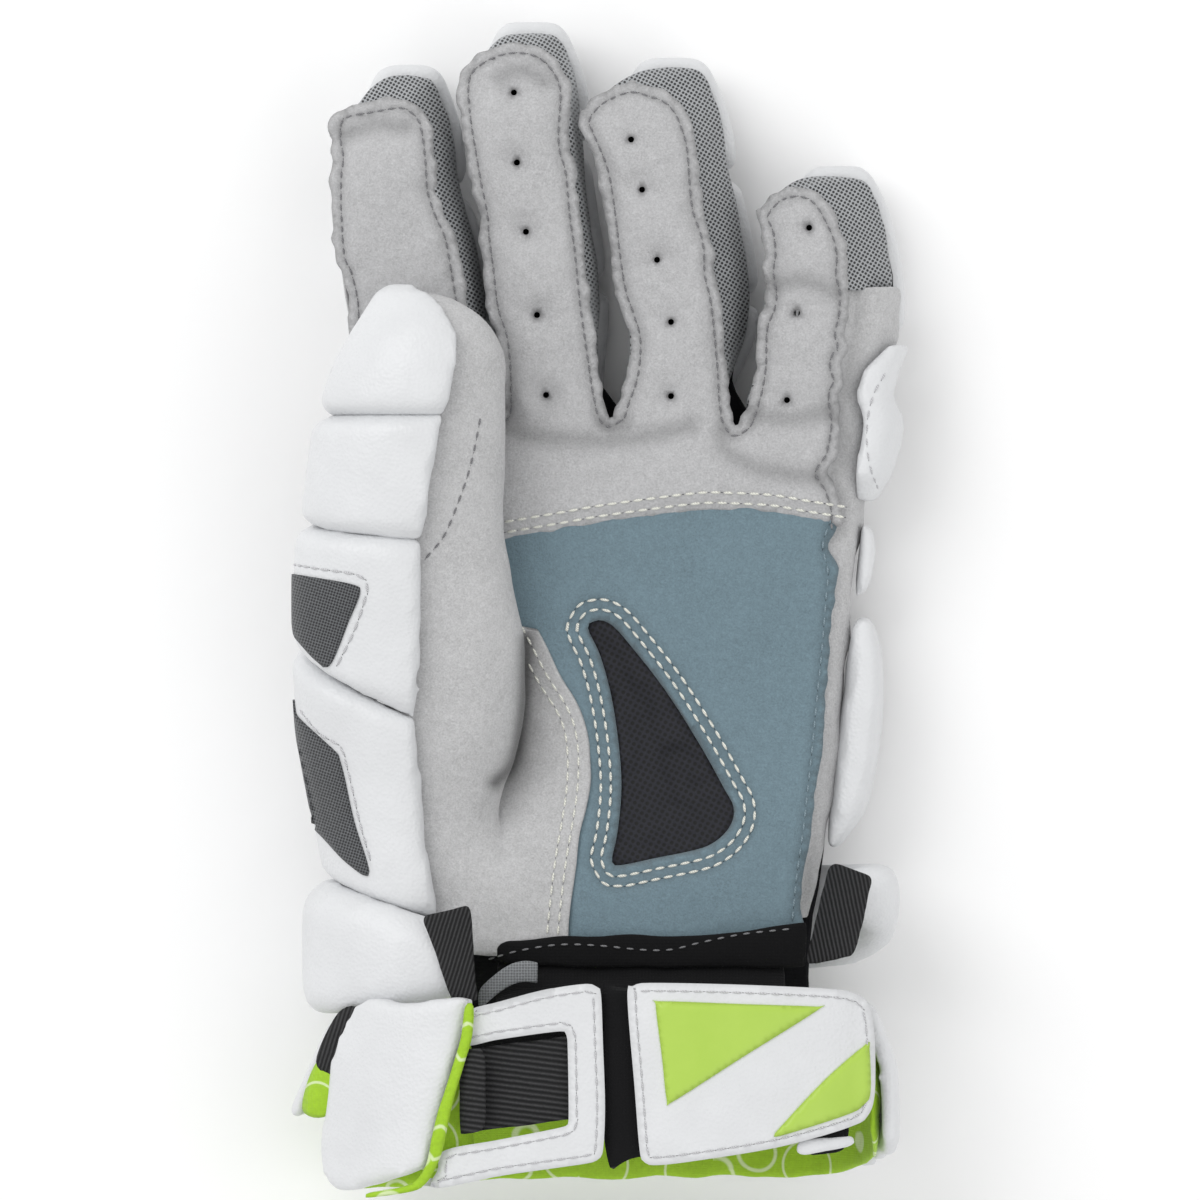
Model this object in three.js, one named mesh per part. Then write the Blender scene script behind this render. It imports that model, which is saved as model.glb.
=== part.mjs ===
// Left-hand lacrosse glove lying on its back with the palm up.
// Millimetres. +Z leaves the palm, +Y runs to the fingertips, +X to the little finger side.
// While the pieces are made, Y is 0 on the line of the finger roots and X is 0 on the cuff's middle.
import * as THREE from "three";

// Fingers: length from the roots to the suede tip, width at the roots.
const indexLength = 89;
const middleLength = 105;
const ringLength = 94;
const littleLength = 65.5;
const indexWidth = 36;
const middleWidth = 32;
const ringWidth = 34;
const littleWidth = 30.5;
const fingerRoom = 20;
const fingerCrown = 3.2;
const fingerRise = 8;
const fingerRoll = 2;
const tipDrop = 6;

// Palm, thumb, wrist and cuff. The roll, the cuff and the thumb are set from the palm's width.
const palmOffset = 1.25;
const palmLength = 145.6;
const palmRoom = 22;
const palmDroop = 7;
const thumbReach = 173;
const thumbWidth = 53;
const thumbDepth = 36;
const thumbInset = 17.5;
const thumbClearance = 3;
const wristLength = 21.6;
const rollOverhang = 17.75;
const rollHeight = 72;
const rollThick = 14;
const cuffLength = 48.4;
const cuffOverhang = 13.5;
const cuffRoomHeight = 62;
const cuffFlare = 6;

// Walls and pads.
const padThick = 15;
const padEdge = 3;
const sidePadThick = 8;
const thumbPadThick = 12;
const cuffPadThick = 8;
const cuffPanelThick = 5;
const linerWall = 1.8;
const suedeWall = 1.4;
const meshWall = 1.4;
const liningWall = 2;
const hemThick = 2.4;
const strapWall = 2.2;
const elasticWall = 1.4;
const fieldWall = 1;
const ventWall = 1;
const gap = 0.35;

const WHITE = { color: 0xe8eaec, roughness: 0.45 };
const SUEDE = { color: 0xb5b5b5, roughness: 0.95 };
const BLUE = { color: 0x74899a, roughness: 0.95 };
const GUSSET = { color: 0x8d8f90, roughness: 0.9 };
const NAVY = { color: 0x17181f, roughness: 0.85 };
const BLACK = { color: 0x1d1d1f, roughness: 0.8 };
const GREEN = { color: 0x9fcb14, roughness: 0.8 };
const LABEL_GREEN = { color: 0xaecf4f, roughness: 0.45 };
const RIBBON = { color: 0x8f9193, roughness: 0.8 };

const palmWidth = indexWidth + middleWidth + ringWidth + littleWidth;
const palmLeft = palmOffset - palmWidth / 2;
const thumbX = palmLeft + thumbInset;
const rollHalfWidth = palmWidth / 2 + rollOverhang;
const cuffRoomWidth = palmWidth + cuffOverhang;

const glove = new THREE.Group();
const at3 = (x, y, z) => new THREE.Vector3(x, y, z);
const mix = (a, b, t) => a + (b - a) * t;
const ease = (low, high, v) => THREE.MathUtils.smoothstep(v, low, high);
const radians = THREE.MathUtils.degToRad;
const steps = (from, to, count) =>
  Array.from({ length: count + 1 }, (_, i) => mix(from, to, i / count));

// One column of a table at a station, on a smooth curve through the table's rows.
function column(table, key, at) {
  let i = 0;
  while (i < table.length - 2 && at > table[i + 1].at) i++;
  const a = table[i];
  const b = table[i + 1];
  const slope = (p, q) => (q === p ? 0 : (q[key] - p[key]) / (q.at - p.at));
  const span = b.at - a.at;
  const t = THREE.MathUtils.clamp((at - a.at) / span, 0, 1);
  const leave = slope(table[Math.max(i - 1, 0)], b) * span;
  const arrive = slope(a, table[Math.min(i + 2, table.length - 1)]) * span;
  const t2 = t * t;
  const t3 = t2 * t;
  const ends = a[key] * (2 * t3 - 3 * t2 + 1) + b[key] * (3 * t2 - 2 * t3);
  return ends + leave * (t3 - 2 * t2 + t) + arrive * (t3 - t2);
}

function quad(faces, a, b, c, d) {
  faces.push([a, b, c], [a, c, d]);
}

// Adds a closed mesh, with its faces turned outwards.
function solid(name, points, faces, look) {
  let volume = 0;
  for (const [a, b, c] of faces) {
    volume += points[a].dot(points[b].clone().cross(points[c]));
  }
  const index = faces.flatMap(([a, b, c]) => (volume > 0 ? [a, b, c] : [a, c, b]));
  const geometry = new THREE.BufferGeometry();
  geometry.setAttribute(
    "position",
    new THREE.Float32BufferAttribute(points.flatMap((p) => [p.x, p.y, p.z]), 3),
  );
  geometry.setIndex(index);
  geometry.computeVertexNormals();
  const mesh = new THREE.Mesh(geometry, new THREE.MeshStandardMaterial({ ...look, metalness: 0 }));
  mesh.name = name;
  glove.add(mesh);
}

// A cloth wall: the outer face is given, and the wall grows inwards from it.
function sheet(name, points, faces, wall, look) {
  const normals = points.map(() => at3(0, 0, 0));
  const directed = new Map();
  for (const [a, b, c] of faces) {
    const ab = points[b].clone().sub(points[a]);
    const normal = ab.cross(points[c].clone().sub(points[a]));
    for (const i of [a, b, c]) normals[i].add(normal);
    for (const [p, q] of [[a, b], [b, c], [c, a]]) directed.set(p + "_" + q, [p, q]);
  }
  const count = points.length;
  const inner = points.map((p, i) => p.clone().addScaledVector(normals[i].normalize(), -wall));
  const all = [...faces, ...faces.map(([a, b, c]) => [a + count, c + count, b + count])];
  for (const [p, q] of directed.values()) {
    if (!directed.has(q + "_" + p)) quad(all, q, p, p + count, q + count);
  }
  const used = new Map();
  const list = [...points, ...inner];
  const kept = [];
  const keep = (i) => {
    if (!used.has(i)) used.set(i, kept.push(list[i]) - 1);
    return used.get(i);
  };
  solid(name, kept, all.map((face) => face.map(keep)), look);
}

// A grid of points, given row by row. Cells for which skip is true are left open.
function gridSheet(name, rows, wall, look, skip = () => false) {
  const width = rows[0].length;
  const faces = [];
  for (let r = 0; r < rows.length - 1; r++) {
    for (let c = 0; c < width - 1; c++) {
      const i = r * width + c;
      if (!skip(r, c)) quad(faces, i, i + 1, i + width + 1, i + width);
    }
  }
  sheet(name, rows.flat(), faces, wall, look);
}

// A closed body through rings with the same even number of points, with a cap at each end.
function rings(name, loops, look) {
  const count = loops[0].length;
  const faces = [];
  loops.slice(1).forEach((_, r) => {
    for (let i = 0; i < count; i++) {
      const j = (i + 1) % count;
      quad(faces, r * count + i, r * count + j, (r + 1) * count + j, (r + 1) * count + i);
    }
  });
  const last = (loops.length - 1) * count;
  for (let i = 0; i < count / 2 - 1; i++) {
    const [a, b, c, d] = [i, i + 1, count - 2 - i, count - 1 - i];
    quad(faces, last + a, last + b, last + c, last + d);
    quad(faces, d, c, b, a);
  }
  solid(name, loops.flat(), faces, look);
}

// The eight corners of a padded section, u across and v through its thickness.
function paddedSection(u0, u1, v0, v1, edge, place) {
  const e = Math.min(edge, (u1 - u0) / 3, (v1 - v0) / 3);
  return [
    [u0 + e, v0],
    [u1 - e, v0],
    [u1, v0 + e],
    [u1, v1 - e],
    [u1 - e, v1],
    [u0 + e, v1],
    [u0, v1 - e],
    [u0, v0 + e],
  ].map(([u, v]) => place(u, v));
}

// Heights of the layers over the floor.
const linerBottom = padThick + gap;
const linerTop = linerBottom + linerWall;
const gussetBottom = linerTop + gap;
const frontBase = gussetBottom + fingerRoom + gap + suedeWall;

// Each finger's suede front: edges as shares of its width, measured from the middle of its root.
const fingers = [
  {
    name: "index",
    length: indexLength,
    width: indexWidth,
    overhang: 12,
    lean: 7,
    flare: 1.5,
    pads: [["base_pad", 0.03, 0.36], ["mid_pad", 0.375, 0.725], ["tip_pad", 0.74, 1]],
    rows: [
      { at: 0, left: -0.5, right: 0.5 },
      { at: 0.24, left: -0.64, right: 0.32 },
      { at: 0.53, left: -0.77, right: 0.2 },
      { at: 0.72, left: -0.79, right: 0.05 },
      { at: 0.89, left: -0.79, right: 0.01 },
      { at: 0.965, left: -0.68, right: -0.09 },
      { at: 1, left: -0.5, right: -0.19 },
    ],
  },
  {
    name: "middle",
    length: middleLength,
    width: middleWidth,
    overhang: 8,
    lean: 4.5,
    flare: 1.5,
    pads: [["base_pad", 0.03, 0.36], ["mid_pad", 0.375, 0.725], ["tip_pad", 0.74, 1]],
    rows: [
      { at: 0, left: -0.5, right: 0.5 },
      { at: 0.2, left: -0.49, right: 0.37 },
      { at: 0.45, left: -0.64, right: 0.27 },
      { at: 0.72, left: -0.78, right: 0.14 },
      { at: 0.89, left: -0.81, right: 0.13 },
      { at: 0.965, left: -0.67, right: -0.01 },
      { at: 1, left: -0.48, right: -0.17 },
    ],
  },
  {
    name: "ring",
    length: ringLength,
    width: ringWidth,
    overhang: 9,
    lean: 10,
    flare: 2.5,
    pads: [["base_pad", 0.03, 0.36], ["mid_pad", 0.375, 0.73], ["tip_pad", 0.745, 1]],
    rows: [
      { at: 0, left: -0.5, right: 0.5 },
      { at: 0.25, left: -0.36, right: 0.43 },
      { at: 0.51, left: -0.52, right: 0.34 },
      { at: 0.7, left: -0.59, right: 0.23 },
      { at: 0.88, left: -0.74, right: 0.14 },
      { at: 0.96, left: -0.63, right: 0 },
      { at: 1, left: -0.48, right: -0.19 },
    ],
  },
  {
    name: "little",
    length: littleLength,
    width: littleWidth,
    overhang: 7,
    lean: 12.5,
    flare: 4.5,
    pads: [["base_pad", 0.03, 0.345], ["tip_pad", 0.37, 1]],
    rows: [
      { at: 0, left: -0.5, right: 0.5 },
      { at: 0.21, left: -0.31, right: 0.51 },
      { at: 0.43, left: -0.27, right: 0.57 },
      { at: 0.64, left: -0.22, right: 0.55 },
      { at: 0.86, left: -0.28, right: 0.44 },
      { at: 0.945, left: -0.18, right: 0.32 },
      { at: 1, left: -0.06, right: 0.18 },
    ],
  },
];
let rootLeft = palmLeft;
for (const finger of fingers) {
  finger.x = rootLeft + finger.width / 2;
  finger.reach = 1 + finger.overhang / finger.length;
  rootLeft += finger.width;
}

const lift = (finger, at) => (fingerRise * Math.max(at, 0) ** 1.5 * finger.length) / middleLength;
const leanShare = (at) => ease(0, 0.35, at);
const frontEdge = (finger, at, side) => finger.x + finger.width * column(finger.rows, side, at);
const roundedFrom = 0.85;
const tipTaper = 0.48;
const rootInset = 1;

// Edge of the pads under a finger: the front's edge, leant over, flared and narrowed at the tip.
function padEdgeX(finger, at, side) {
  const held = Math.min(at, roundedFrom);
  const left = frontEdge(finger, held, "left");
  const right = frontEdge(finger, held, "right");
  const share = leanShare(at);
  const t = THREE.MathUtils.clamp((at - roundedFrom) / (finger.reach - roundedFrom), 0, 1);
  const half = (right - left) / 2 - rootInset + (finger.flare + rootInset) * share;
  const middle = (left + right) / 2 + finger.lean * share;
  const sign = side === "left" ? -1 : 1;
  return middle + sign * half * (1 - tipTaper * t ** 1.5);
}

// Outer face of a finger's suede front, s from 0 at its left edge to 1 at its right edge.
function frontPoint(finger, at, s) {
  const left = frontEdge(finger, at, "left");
  const right = frontEdge(finger, at, "right");
  const arch = fingerCrown * (1 - (2 * s - 1) ** 2);
  const roll = fingerRoll * (2 * s - 1) * leanShare(at);
  const drop = tipDrop * ease(0.78, 1, at);
  const z = frontBase + lift(finger, at) + arch + roll - drop;
  return at3(mix(left, right, s), at * finger.length, z);
}

// Palm: at runs from the finger roots to the hem. Edges and crown are shares of the palm's sizes.
const palmRows = [
  { at: 0, left: 0, right: 1, low: 0.02, lowRight: 1.075, room: 0.95, crown: 0.14 },
  { at: 0.1, left: 0.036, right: 0.975, low: 0.045, lowRight: 1.06, room: 1, crown: 0.18 },
  { at: 0.2, left: 0.078, right: 0.98, low: 0.072, lowRight: 1.05, room: 1, crown: 0.18 },
  { at: 0.35, left: 0.11, right: 0.983, low: 0.093, lowRight: 1.02, room: 0.98, crown: 0.1 },
  { at: 0.55, left: 0.12, right: 0.962, low: 0.098, lowRight: 1.006, room: 0.96, crown: 0.03 },
  { at: 0.75, left: 0.125, right: 0.935, low: 0.095, lowRight: 0.979, room: 1.1, crown: 0.05 },
  { at: 1, left: 0.155, right: 0.9, low: 0.09, lowRight: 0.935, room: 1.35, crown: 0.12 },
];
const palmX = (share) => palmLeft + share * palmWidth;
const palmY = (at) => -at * palmLength;
const palmSide = (at, key) => palmX(column(palmRows, key, at));

// Height of the palm's outer layer at x, from the table's room and crown.
function palmTop(at, x) {
  const s = (x - palmSide(at, "left")) / (palmSide(at, "right") - palmSide(at, "left"));
  const middled = THREE.MathUtils.clamp(s, 0, 1);
  const arch = column(palmRows, "crown", at) * (1 - (2 * middled - 1) ** 2);
  const droop = palmDroop * Math.max(1 - middled / 0.25, 0) ** 2 * ease(0, 0.15, at);
  const room = palmRoom * (column(palmRows, "room", at) + arch);
  return gussetBottom + room + suedeWall - droop;
}

// A sheet cut like a hand: four finger strips that run into one palm.
function handSheet(name, strip, palm, fingerSteps, palmSteps, columns, wall, look) {
  const points = [];
  const faces = [];
  const width = fingers.length * columns + 1;
  for (const at of palmSteps) {
    for (let c = 0; c < width; c++) points.push(palm(at, c / (width - 1), c));
  }
  palmSteps.slice(1).forEach((_, r) => {
    for (let c = 0; c < width - 1; c++) {
      const i = r * width + c;
      quad(faces, i + width, i + width + 1, i + 1, i);
    }
  });
  fingers.forEach((finger, f) => {
    let below = steps(0, columns, columns).map((c) => f * columns + c);
    for (const share of fingerSteps) {
      const row = below.map((_, c) => points.push(strip(finger, share, c / columns)) - 1);
      for (let c = 0; c < columns; c++) quad(faces, below[c], below[c + 1], row[c + 1], row[c]);
      below = row;
    }
  });
  sheet(name, points, faces, wall, look);
}

// Suede front: the finger fronts and the upper palm are one cut, which ends lower on the
// thumb's side by the slant.
const frontColumns = 6;
const frontEnd = 0.192;
const frontSlant = 0.045;
handSheet(
  "suede_front",
  frontPoint,
  (at, s, c) => {
    const finger = fingers[Math.min(Math.floor(c / frontColumns), fingers.length - 1)];
    const own = (c - fingers.indexOf(finger) * frontColumns) / frontColumns;
    const rooted = frontPoint(finger, 0, own);
    const deep = at + frontSlant * (1 - ease(0, 0.35, s)) * ease(0, frontEnd, at);
    const spread = (rooted.x - palmLeft) / palmWidth;
    const x = mix(palmSide(deep, "left"), palmSide(deep, "right"), spread);
    const blend = ease(0, 0.07, at);
    return at3(x, palmY(deep), mix(rooted.z, palmTop(deep, x), blend));
  },
  [0.08, 0.18, 0.3, 0.42, 0.55, 0.68, 0.8, 0.89, 0.95, 1],
  [0, 0.03, 0.07, 0.12, 0.155, frontEnd],
  frontColumns,
  suedeWall,
  SUEDE,
);

// The wrist roll and the cuff follow rounded ovals. Angles run from +X towards +Z.
const ovalPower = 2.6;
function ovalPoint(halfWidth, halfHeight, middleZ, angle, y) {
  const c = Math.cos(radians(angle));
  const s = Math.sin(radians(angle));
  const rounded = (v) => Math.sign(v) * Math.abs(v) ** (2 / ovalPower);
  return at3(halfWidth * rounded(c), y, middleZ + halfHeight * rounded(s));
}

const rollPoint = (angle, off, y) =>
  ovalPoint(
    rollHalfWidth - rollThick + off,
    rollHeight / 2 - rollThick + off,
    rollHeight / 2,
    angle,
    y,
  );
const cuffMiddleZ = cuffRoomHeight / 2 + liningWall + gap + cuffPadThick;
const cuffY = (share) => palmY(1) - wristLength - share * cuffLength;
const cuffPoint = (angle, off, y) =>
  ovalPoint(cuffRoomWidth / 2 + off, cuffRoomHeight / 2 + off, cuffMiddleZ, angle, y);
// Rise of the lining's inner face over its lowest line, at x.
function cuffDip(x) {
  const share = Math.min(Math.abs(x) / (cuffRoomWidth / 2), 0.97);
  return (cuffRoomHeight / 2) * (1 - (1 - share ** ovalPower) ** (1 / ovalPower));
}
const rollStart = 0.855;
// Rise of the roll's inner face over its lowest line, at x.
function rollDip(x) {
  const share = Math.min(Math.abs(x) / (rollHalfWidth - rollThick), 0.97);
  return (rollHeight / 2 - rollThick) * (1 - (1 - share ** ovalPower) ** (1 / ovalPower));
}

// Back liner: the cloth under the hand and the fingers, which carries the pads of the back.
const linerEnd = 1.24;
const linerInset = 1.6;
function linerPoint(finger, share, s) {
  const at = share * (finger.reach - 3 / finger.length);
  const left = padEdgeX(finger, at, "left") + linerInset;
  const right = padEdgeX(finger, at, "right") - linerInset;
  return at3(mix(left, right, s), at * finger.length, linerTop + lift(finger, at));
}
function linerHeight(at, x) {
  const onRoll = rollPoint(-90, 0, 0).z + rollDip(x) + linerWall + gap * 2;
  const onCuff = cuffPoint(-90, 0, 0).z + cuffDip(x) + linerWall + gap * 2;
  const held = Math.max(linerTop, mix(linerTop, onRoll, ease(0.8, rollStart, at)));
  return mix(held, onCuff, ease(1.112, 1.165, at));
}
function linerPalm(at, s) {
  const held = Math.min(at, 1);
  const x = mix(palmSide(held, "low"), palmSide(held, "lowRight"), s);
  return at3(x, palmY(at), linerHeight(at, x));
}
handSheet(
  "back_liner",
  linerPoint,
  linerPalm,
  [0.12, 0.26, 0.4, 0.54, 0.68, 0.8, 0.9, 1],
  [0, 0.12, 0.3, 0.55, 0.79, rollStart, 1, 1.112, 1.165, linerEnd],
  3,
  linerWall,
  BLACK,
);

// Finger gussets: mesh walls round the sides and the tip, from the liner up to the suede front.
const gussetSeat = 2.4;
const frontSeat = 1.1;
const gussetBow = 1.3;
const footClear = 0.6;
const headDrop = (at) => 0.3 * ease(0, 0.2, at);
function gussetFoot(finger, at, side) {
  const low = at * mix(1, finger.reach - 4.5 / finger.length, ease(0.55, 1, at));
  const inset = side === "left" ? gussetSeat : -gussetSeat;
  const x = padEdgeX(finger, low, side) + inset;
  return at3(x, low * finger.length, gussetBottom + footClear + lift(finger, low));
}
function gussetHead(finger, at, side) {
  const s = side === "left" ? 0 : 1;
  const point = frontPoint(finger, at, s);
  point.x += side === "left" ? frontSeat : -frontSeat;
  point.z -= suedeWall + gap + headDrop(at);
  return point;
}
function gussetRows(feet, heads, middle) {
  const halfway = feet.map((foot, i) => {
    const point = foot.clone().lerp(heads[i], 0.55);
    const out = point.clone().sub(middle).setZ(0).normalize();
    return point.addScaledVector(out, gussetBow);
  });
  return [heads, halfway, feet];
}
const fullWall = [0.07, 0.2, 0.35, 0.5, 0.65, 0.78, 0.88, 0.95, 1];
const sideStarts = { index_left: 0.71, little_right: 0.6 };
for (const finger of fingers) {
  const legs = ["left", "right"].map((side) => {
    const from = sideStarts[finger.name + "_" + side] ?? 0;
    return fullWall.filter((at) => at > from);
  });
  const tipShares = [0.3, 0.7];
  const build = (edge, tip) => [
    ...legs[0].map((at) => edge(finger, at, "left")),
    ...tip,
    ...legs[1].toReversed().map((at) => edge(finger, at, "right")),
  ];
  const across = (edge, bulge) =>
    tipShares.map((s) => {
      const point = edge(finger, 1, "left").lerp(edge(finger, 1, "right"), s);
      point.y += bulge;
      return point;
    });
  const feet = build(gussetFoot, across(gussetFoot, 1.2));
  const heads = build(gussetHead, across(gussetHead, -1));
  const middle = at3(finger.x, finger.length * 0.5, 0);
  middle.x = (frontEdge(finger, 0.5, "left") + frontEdge(finger, 0.5, "right")) / 2;
  gridSheet(finger.name + "_gusset", gussetRows(feet, heads, middle), meshWall, GUSSET);
}

// A back pad: stations along Y with their left and right edges, from the floor or the lift up.
function backPad(name, stations, thick, look = WHITE) {
  const edge = padEdge;
  const full = stations.map((s) =>
    paddedSection(s.left, s.right, s.low, s.low + thick, edge, (x, z) => at3(x, s.y, z)),
  );
  const end = (s, out) =>
    paddedSection(s.left + edge, s.right - edge, s.low + edge, s.low + thick - edge, 1, (x, z) =>
      at3(x, s.y + out, z),
    );
  const first = stations[0];
  const last = stations[stations.length - 1];
  const sign = Math.sign(last.y - first.y);
  rings(name, [end(first, -sign * edge), ...full, end(last, sign * edge)], look);
}
for (const finger of fingers) {
  for (const [kind, from, to] of finger.pads) {
    const share = (mm) => mm / finger.length;
    const start = from + share(padEdge);
    const stop = (kind === "tip_pad" ? finger.reach : to) - share(padEdge);
    const stations = steps(start, stop, kind === "tip_pad" ? 5 : 3).map((at) => ({
      y: at * finger.length,
      left: padEdgeX(finger, at, "left"),
      right: padEdgeX(finger, at, "right"),
      low: lift(finger, at),
    }));
    backPad(finger.name + "_" + kind, stations, padThick);
  }
}

// Knuckle pads: one at the root of each finger.
const knuckleEnd = 0.2;
const padGap = 1.2;
let knuckleFrom = 0;
for (const finger of fingers) {
  const share = finger.width / palmWidth;
  const bounds = (at) => {
    const left = palmSide(at, "low");
    const right = palmSide(at, "lowRight") - 2;
    return [mix(left, right, knuckleFrom), mix(left, right, knuckleFrom + share)];
  };
  const stations = steps(0.025, knuckleEnd, 3).map((at) => ({
    y: palmY(at),
    left: bounds(at)[0] + padGap / 2,
    right: bounds(at)[1] - padGap / 2,
    low: 0,
  }));
  backPad(finger.name + "_knuckle_pad", stations, padThick);
  knuckleFrom += share;
}

// Backhand pads: three long blocks between the knuckles and the wrist roll.
const backhandFrom = 0.25;
const backhandTo = 0.83;
const backhandPads = [
  { name: "backhand_pad_thumb_side", from: 0, to: 0.33 },
  { name: "backhand_pad_middle", from: 0.33, to: 0.67 },
  { name: "backhand_pad_little_side", from: 0.67, to: 1 },
];
for (const pad of backhandPads) {
  const stations = steps(backhandFrom, backhandTo, 5).map((at) => {
    const left = palmSide(at, "low") - 2;
    const right = palmSide(at, "lowRight") - 2;
    return {
      y: palmY(at),
      left: mix(left, right, pad.from) + padGap / 2,
      right: mix(left, right, pad.to) - padGap / 2,
      low: 0,
    };
  });
  backPad(pad.name, stations, padThick);
}

// Side pads: foam against the little finger side of the hand, outside the suede side panel.
const sidePads = [
  { name: "side_pad_upper", from: -0.14, to: 0.145, out: 0.085, tip: 0.6, tall: 0.85, clear: 0.2 },
  { name: "side_pad_middle", from: 0.195, to: 0.34, out: 0.01, tip: 0.9, tall: 0.8, clear: 0.3 },
  { name: "side_pad_lower", from: 0.375, to: 0.83, out: 0.07, tip: 0.85, tall: 0.95, clear: 0.7 },
];
const sidePadTop = frontBase - 3;

// Outer foot of the little finger's side panel, along the finger and then along the palm.
const little = fingers[fingers.length - 1];
const panelRun = -0.6 * (littleLength / palmLength);
function sideFoot(at) {
  if (at >= 0) {
    const x = palmSide(at, "lowRight") - 1.5 * ease(0.8, rollStart, at);
    return at3(x, palmY(at), linerHeight(at, x + 1.5) + gap + footClear);
  }
  const share = (-at * palmLength) / little.length;
  const onFinger = gussetFoot(little, Math.min(share, 0.6), "right").x + gussetSeat - 1;
  const blend = ease(0, 0.25, share);
  const x = mix(palmSide(0, "lowRight"), onFinger, blend);
  return at3(x, palmY(at), gussetBottom + footClear + lift(little, share));
}
const panelClear = suedeWall + gap + 0.6;
function sideHead(at) {
  if (at >= 0) {
    const x = palmSide(at, "right") + panelClear;
    const room = at > frontEnd ? suedeWall + gap : 0;
    return at3(x, palmY(at), palmTop(at, x) - room);
  }
  const share = (-at * palmLength) / little.length;
  const point = frontPoint(little, share, 1);
  point.x += panelClear;
  return point;
}
const sideStations = [
  ...steps(panelRun + 0.012, 0, 5),
  0.06,
  0.12,
  frontEnd - 0.005,
  frontEnd + 0.005,
  0.32,
  0.45,
  0.6,
  0.75,
  0.87,
  0.96,
];
const sideBow = 2;
gridSheet(
  "side_panel",
  [
    sideStations.map((at) => sideHead(at)),
    sideStations.map((at) => sideFoot(at).lerp(sideHead(at), 0.5).add(at3(sideBow, 0, 0))),
    sideStations.map((at) => sideFoot(at)),
  ],
  suedeWall,
  SUEDE,
);
for (const pad of sidePads) {
  const loops = steps(pad.from, pad.to, 6).map((at, i, all) => {
    const end = i === 0 || i === all.length - 1;
    const low = linerBottom - padThick * (at < 0.1 ? -0.15 : 0.6);
    const high = mix(low, sidePadTop, pad.tall);
    const foot = sideFoot(at).x + sideBow + gap + pad.clear;
    const swell = Math.sin((Math.PI * i) / (all.length - 1)) ** 0.4;
    const inset = end ? (high - low) * (1 - pad.tip) * 0.5 : 0;
    const thick = mix(sidePadThick * 0.4, sidePadThick, swell);
    return paddedSection(0, thick, low + inset, high - inset, 2, (u, z) => {
      const span = (z - gussetBottom) / (sideHead(at).z - gussetBottom);
      const inward = (foot - sideHead(at).x) * THREE.MathUtils.clamp(span, 0, 1) * 0.5;
      return at3(foot - inward + u, palmY(at), z);
    });
  });
  rings(pad.name, loops, WHITE);
}

// Thumb: stations from the wrist end to the tip. Sizes are shares of the thumb's width and depth,
// up is the share of its climb, and lid is the angle at which the pads stop on the palm side.
const thumbRows = [
  { at: 0, x: 0, half: 0.31, up: 0, deep: 0.47, lid: 76 },
  { at: 0.09, x: 0, half: 0.365, up: 0, deep: 0.5, lid: 82 },
  { at: 0.185, x: 0, half: 0.42, up: 0.08, deep: 0.5, lid: 90 },
  { at: 0.3, x: 0, half: 0.495, up: 0.27, deep: 0.5, lid: 93 },
  { at: 0.43, x: 0, half: 0.5, up: 0.47, deep: 0.47, lid: 95 },
  { at: 0.56, x: -0.04, half: 0.455, up: 0.65, deep: 0.445, lid: 89 },
  { at: 0.69, x: -0.025, half: 0.415, up: 0.82, deep: 0.43, lid: 83 },
  { at: 0.82, x: 0.015, half: 0.385, up: 0.92, deep: 0.417, lid: 76 },
  { at: 0.895, x: 0.058, half: 0.33, up: 0.97, deep: 0.36, lid: 74 },
  { at: 0.945, x: 0.04, half: 0.25, up: 1, deep: 0.27, lid: 72 },
  { at: 0.985, x: -0.06, half: 0.11, up: 1, deep: 0.13, lid: 72 },
  { at: 1, x: -0.1, half: 0.02, up: 1, deep: 0.02, lid: 72 },
];
const thumbBaseY = palmY(0.933);
const thumbLowZ = linerTop + thumbDepth / 2;
const thumbHighZ = frontBase + fingerCrown + thumbDepth / 2 + thumbClearance;
const thumbY = (at) => thumbBaseY + at * thumbReach;

// A point round the thumb at an angle from +X towards +Z, off its suede by the given depth.
function thumbPoint(at, angle, off, slant = 0) {
  const leanTo = THREE.MathUtils.clamp((180 - angle) / 90, -0.7, 1);
  const moved = Math.max(at - (slant * leanTo) / thumbReach, -0.06);
  const held = THREE.MathUtils.clamp(moved, 0, 1);
  const half = column(thumbRows, "half", held) * thumbWidth + off;
  const deep = column(thumbRows, "deep", held) * thumbDepth + off;
  const x = thumbX + column(thumbRows, "x", held) * thumbWidth + half * Math.cos(radians(angle));
  const z = mix(thumbLowZ, thumbHighZ, column(thumbRows, "up", held));
  return at3(x, thumbY(moved), z + deep * Math.sin(radians(angle)));
}

// Suede sleeve: an open tube that closes at the tip.
const sleeveFrom = 0.182;
const sleeveTip = 0.975;
const sleeveSides = 16;
const sleeveStations = [sleeveFrom, 0.28, 0.38, 0.48, 0.58, 0.68, 0.77, 0.85, 0.91, 0.95, sleeveTip];
{
  const points = [];
  const faces = [];
  for (const at of sleeveStations) {
    for (let i = 0; i < sleeveSides; i++) points.push(thumbPoint(at, (360 * i) / sleeveSides, 0));
  }
  const pole = points.push(thumbPoint(sleeveTip + 0.01, 0, -2)) - 1;
  sleeveStations.forEach((_, r) => {
    for (let i = 0; i < sleeveSides; i++) {
      const j = (i + 1) % sleeveSides;
      const [a, b] = [r * sleeveSides + i, r * sleeveSides + j];
      if (r === sleeveStations.length - 1) faces.push([b, a, pole]);
      else quad(faces, b, a, a + sleeveSides, b + sleeveSides);
    }
  });
  sheet("thumb_sleeve", points, faces, suedeWall, SUEDE);
}

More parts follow.
